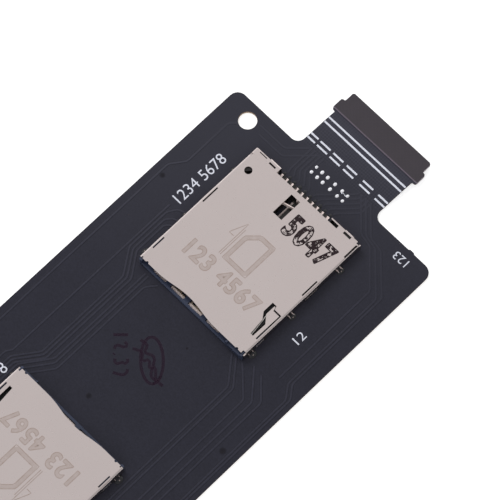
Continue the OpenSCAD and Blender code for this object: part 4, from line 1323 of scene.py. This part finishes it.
class CIRCUIT_OT_studio(Operator):
    """Floor, lamps, world and camera"""

    bl_idname = "circuit.studio"
    bl_label = "Studio"

    FLOOR_HALF = 600
    FLOOR_LEVEL = -0.02
    KEY_SIZE = 90
    KEY_OFFSET = (-110, 25, 150)
    FILL_SIZE = 400
    FILL_OFFSET = (220, -300, 360)

    # Direction that the covers mirror most light from
    KEY_SIDE = (-0.7275, 0.686, 0)

    # Camera: focal length and picture width in pixels, angles in degrees
    FOCAL_PIXELS = 3190.0
    FRAME_PIXELS = 500.0
    SENSOR = 36.0
    EYE = (89.785, -84.856, 307.275)
    TILT = 19.60
    ROLL = -1.52
    TURN = -46.67

    def execute(self, context):
        studio = context.scene.circuit_studio
        self.floor(studio)
        self.world(context.scene, studio)
        middle = (CAD_BOX[0] + CAD_BOX[1]) / 2
        self.lamp("key_lamp", studio.key, self.KEY_SIZE * MM, middle, Vector(metres(*self.KEY_OFFSET)))
        self.lamp("fill_lamp", studio.fill, self.FILL_SIZE * MM, middle, Vector(metres(*self.FILL_OFFSET)))
        self.camera(context.scene)
        context.scene.view_settings.view_transform = "Standard"
        return {"FINISHED"}

    def floor(self, studio):
        """Plain pale floor under the board."""
        half = self.FLOOR_HALF
        level = self.FLOOR_LEVEL
        corners = [metres(x * half, y * half, level) for x, y in ((-1, -1), (1, -1), (1, 1), (-1, 1))]
        floor = mesh_object("floor", corners, (), [(0, 1, 2, 3)])
        paint(floor.data, floor_finish(studio.floor))

    def world(self, scene, studio):
        """Even light from all round, which the camera and bright metal see as white."""
        world = bpy.data.worlds.new("studio")
        world.use_nodes = True
        tree = world.node_tree
        plain = tree.nodes["Background"]
        path = add_node(tree, "ShaderNodeLightPath").outputs
        camera, glossy, clear = (
            Value(tree, path[name]) for name in ("Is Camera Ray", "Is Glossy Ray", "Is Transmission Ray")
        )
        direction = add_node(tree, "ShaderNodeTexCoord").outputs["Generated"]
        dot = {0: direction, 1: self.KEY_SIDE}
        cosine = add_node(tree, "ShaderNodeVectorMath", dot, operation="DOT_PRODUCT").outputs["Value"]
        toward = Value(tree, cosine)
        height = Value(tree, add_node(tree, "ShaderNodeSeparateXYZ", {0: direction}).outputs["Z"])
        low = 1 - height.ramp(0.5, 0.75)
        mirrored = 0.6 + toward.ramp(-0.15, 0.2) * 0.4 + toward.ramp(0.42, 0.75) * low * (studio.sheen - 1)
        strength = studio.world + (camera + clear) * (1 - studio.world) + glossy * (mirrored - studio.world)
        feed(tree, plain.inputs["Color"], (1, 1, 1))
        feed(tree, plain.inputs["Strength"], strength)
        scene.world = world

    def lamp(self, name, power, size, middle, offset):
        """Square soft lamp that points at the middle of the board."""
        light = bpy.data.lights.new(name, "AREA")
        light.energy = power
        light.size = size
        lamp = add_object(name, light)
        lamp.location = middle + offset
        lamp.visible_glossy = False
        lamp.rotation_euler = (-offset).to_track_quat("-Z", "Y").to_euler()

    def camera(self, scene):
        """Long lens that looks down from the board's lower right, as in the photograph."""
        tilt, roll, turn = (math.radians(a) for a in (self.TILT, self.ROLL, self.TURN))
        right = Vector((1, 0, 0))
        forward = Vector((0, math.sin(tilt), -math.cos(tilt)))
        up = Vector((0, math.cos(tilt), math.sin(tilt)))
        across = math.cos(roll) * right + math.sin(roll) * up
        upward = math.cos(roll) * up - math.sin(roll) * right
        to_board = Matrix.Rotation(-turn, 3, "Z")
        axes = [to_board @ v for v in (across, upward, -forward)]
        camera = bpy.data.cameras.new("camera")
        camera.sensor_width = self.SENSOR
        camera.lens = self.SENSOR * self.FOCAL_PIXELS / self.FRAME_PIXELS
        camera.clip_start = 0.01
        holder = add_object("camera", camera)
        holder.matrix_world = shifted(*self.EYE) @ Matrix(axes).transposed().to_4x4()
        scene.camera = holder


OPERATORS = [
    CIRCUIT_OT_studio,
    CIRCUIT_OT_film,
    CIRCUIT_OT_tracks,
    CIRCUIT_OT_covers,
    CIRCUIT_OT_mouldings,
    CIRCUIT_OT_contacts,
    CIRCUIT_OT_springs,
    CIRCUIT_OT_print,
    CIRCUIT_OT_marks,
    CIRCUIT_OT_solder,
    CIRCUIT_OT_pen,
    CIRCUIT_OT_stains,
]
GROUPS = {
    "circuit_film": CircuitFilm,
    "circuit_print": CircuitPrint,
    "circuit_metal": CircuitMetal,
    "circuit_studio": CircuitStudio,
}


class CIRCUIT_PT_sidebar(Panel):
    """Lists the steps and settings of the circuit"""

    bl_idname = "CIRCUIT_PT_sidebar"
    bl_label = "Card socket circuit"
    bl_space_type = "VIEW_3D"
    bl_region_type = "UI"
    bl_category = "Circuit"

    def draw(self, context):
        for operator in OPERATORS:
            self.layout.operator(operator.bl_idname)
        for name, group in GROUPS.items():
            box = self.layout.box()
            for key in group.__annotations__:
                box.prop(getattr(context.scene, name), key)


def register():
    for group in GROUPS.values():
        bpy.utils.register_class(group)
    for name, group in GROUPS.items():
        setattr(bpy.types.Scene, name, PointerProperty(type=group))
    for operator in OPERATORS:
        bpy.utils.register_class(operator)
    bpy.utils.register_class(CIRCUIT_PT_sidebar)


def unregister():
    bpy.utils.unregister_class(CIRCUIT_PT_sidebar)
    for operator in reversed(OPERATORS):
        bpy.utils.unregister_class(operator)
    for name, group in GROUPS.items():
        delattr(bpy.types.Scene, name)
        bpy.utils.unregister_class(group)


def main():
    """Builds everything in order."""
    register()
    for operator in OPERATORS:
        group, name = operator.bl_idname.split(".")
        getattr(getattr(bpy.ops, group), name)()


if __name__ == "__main__":
    main()
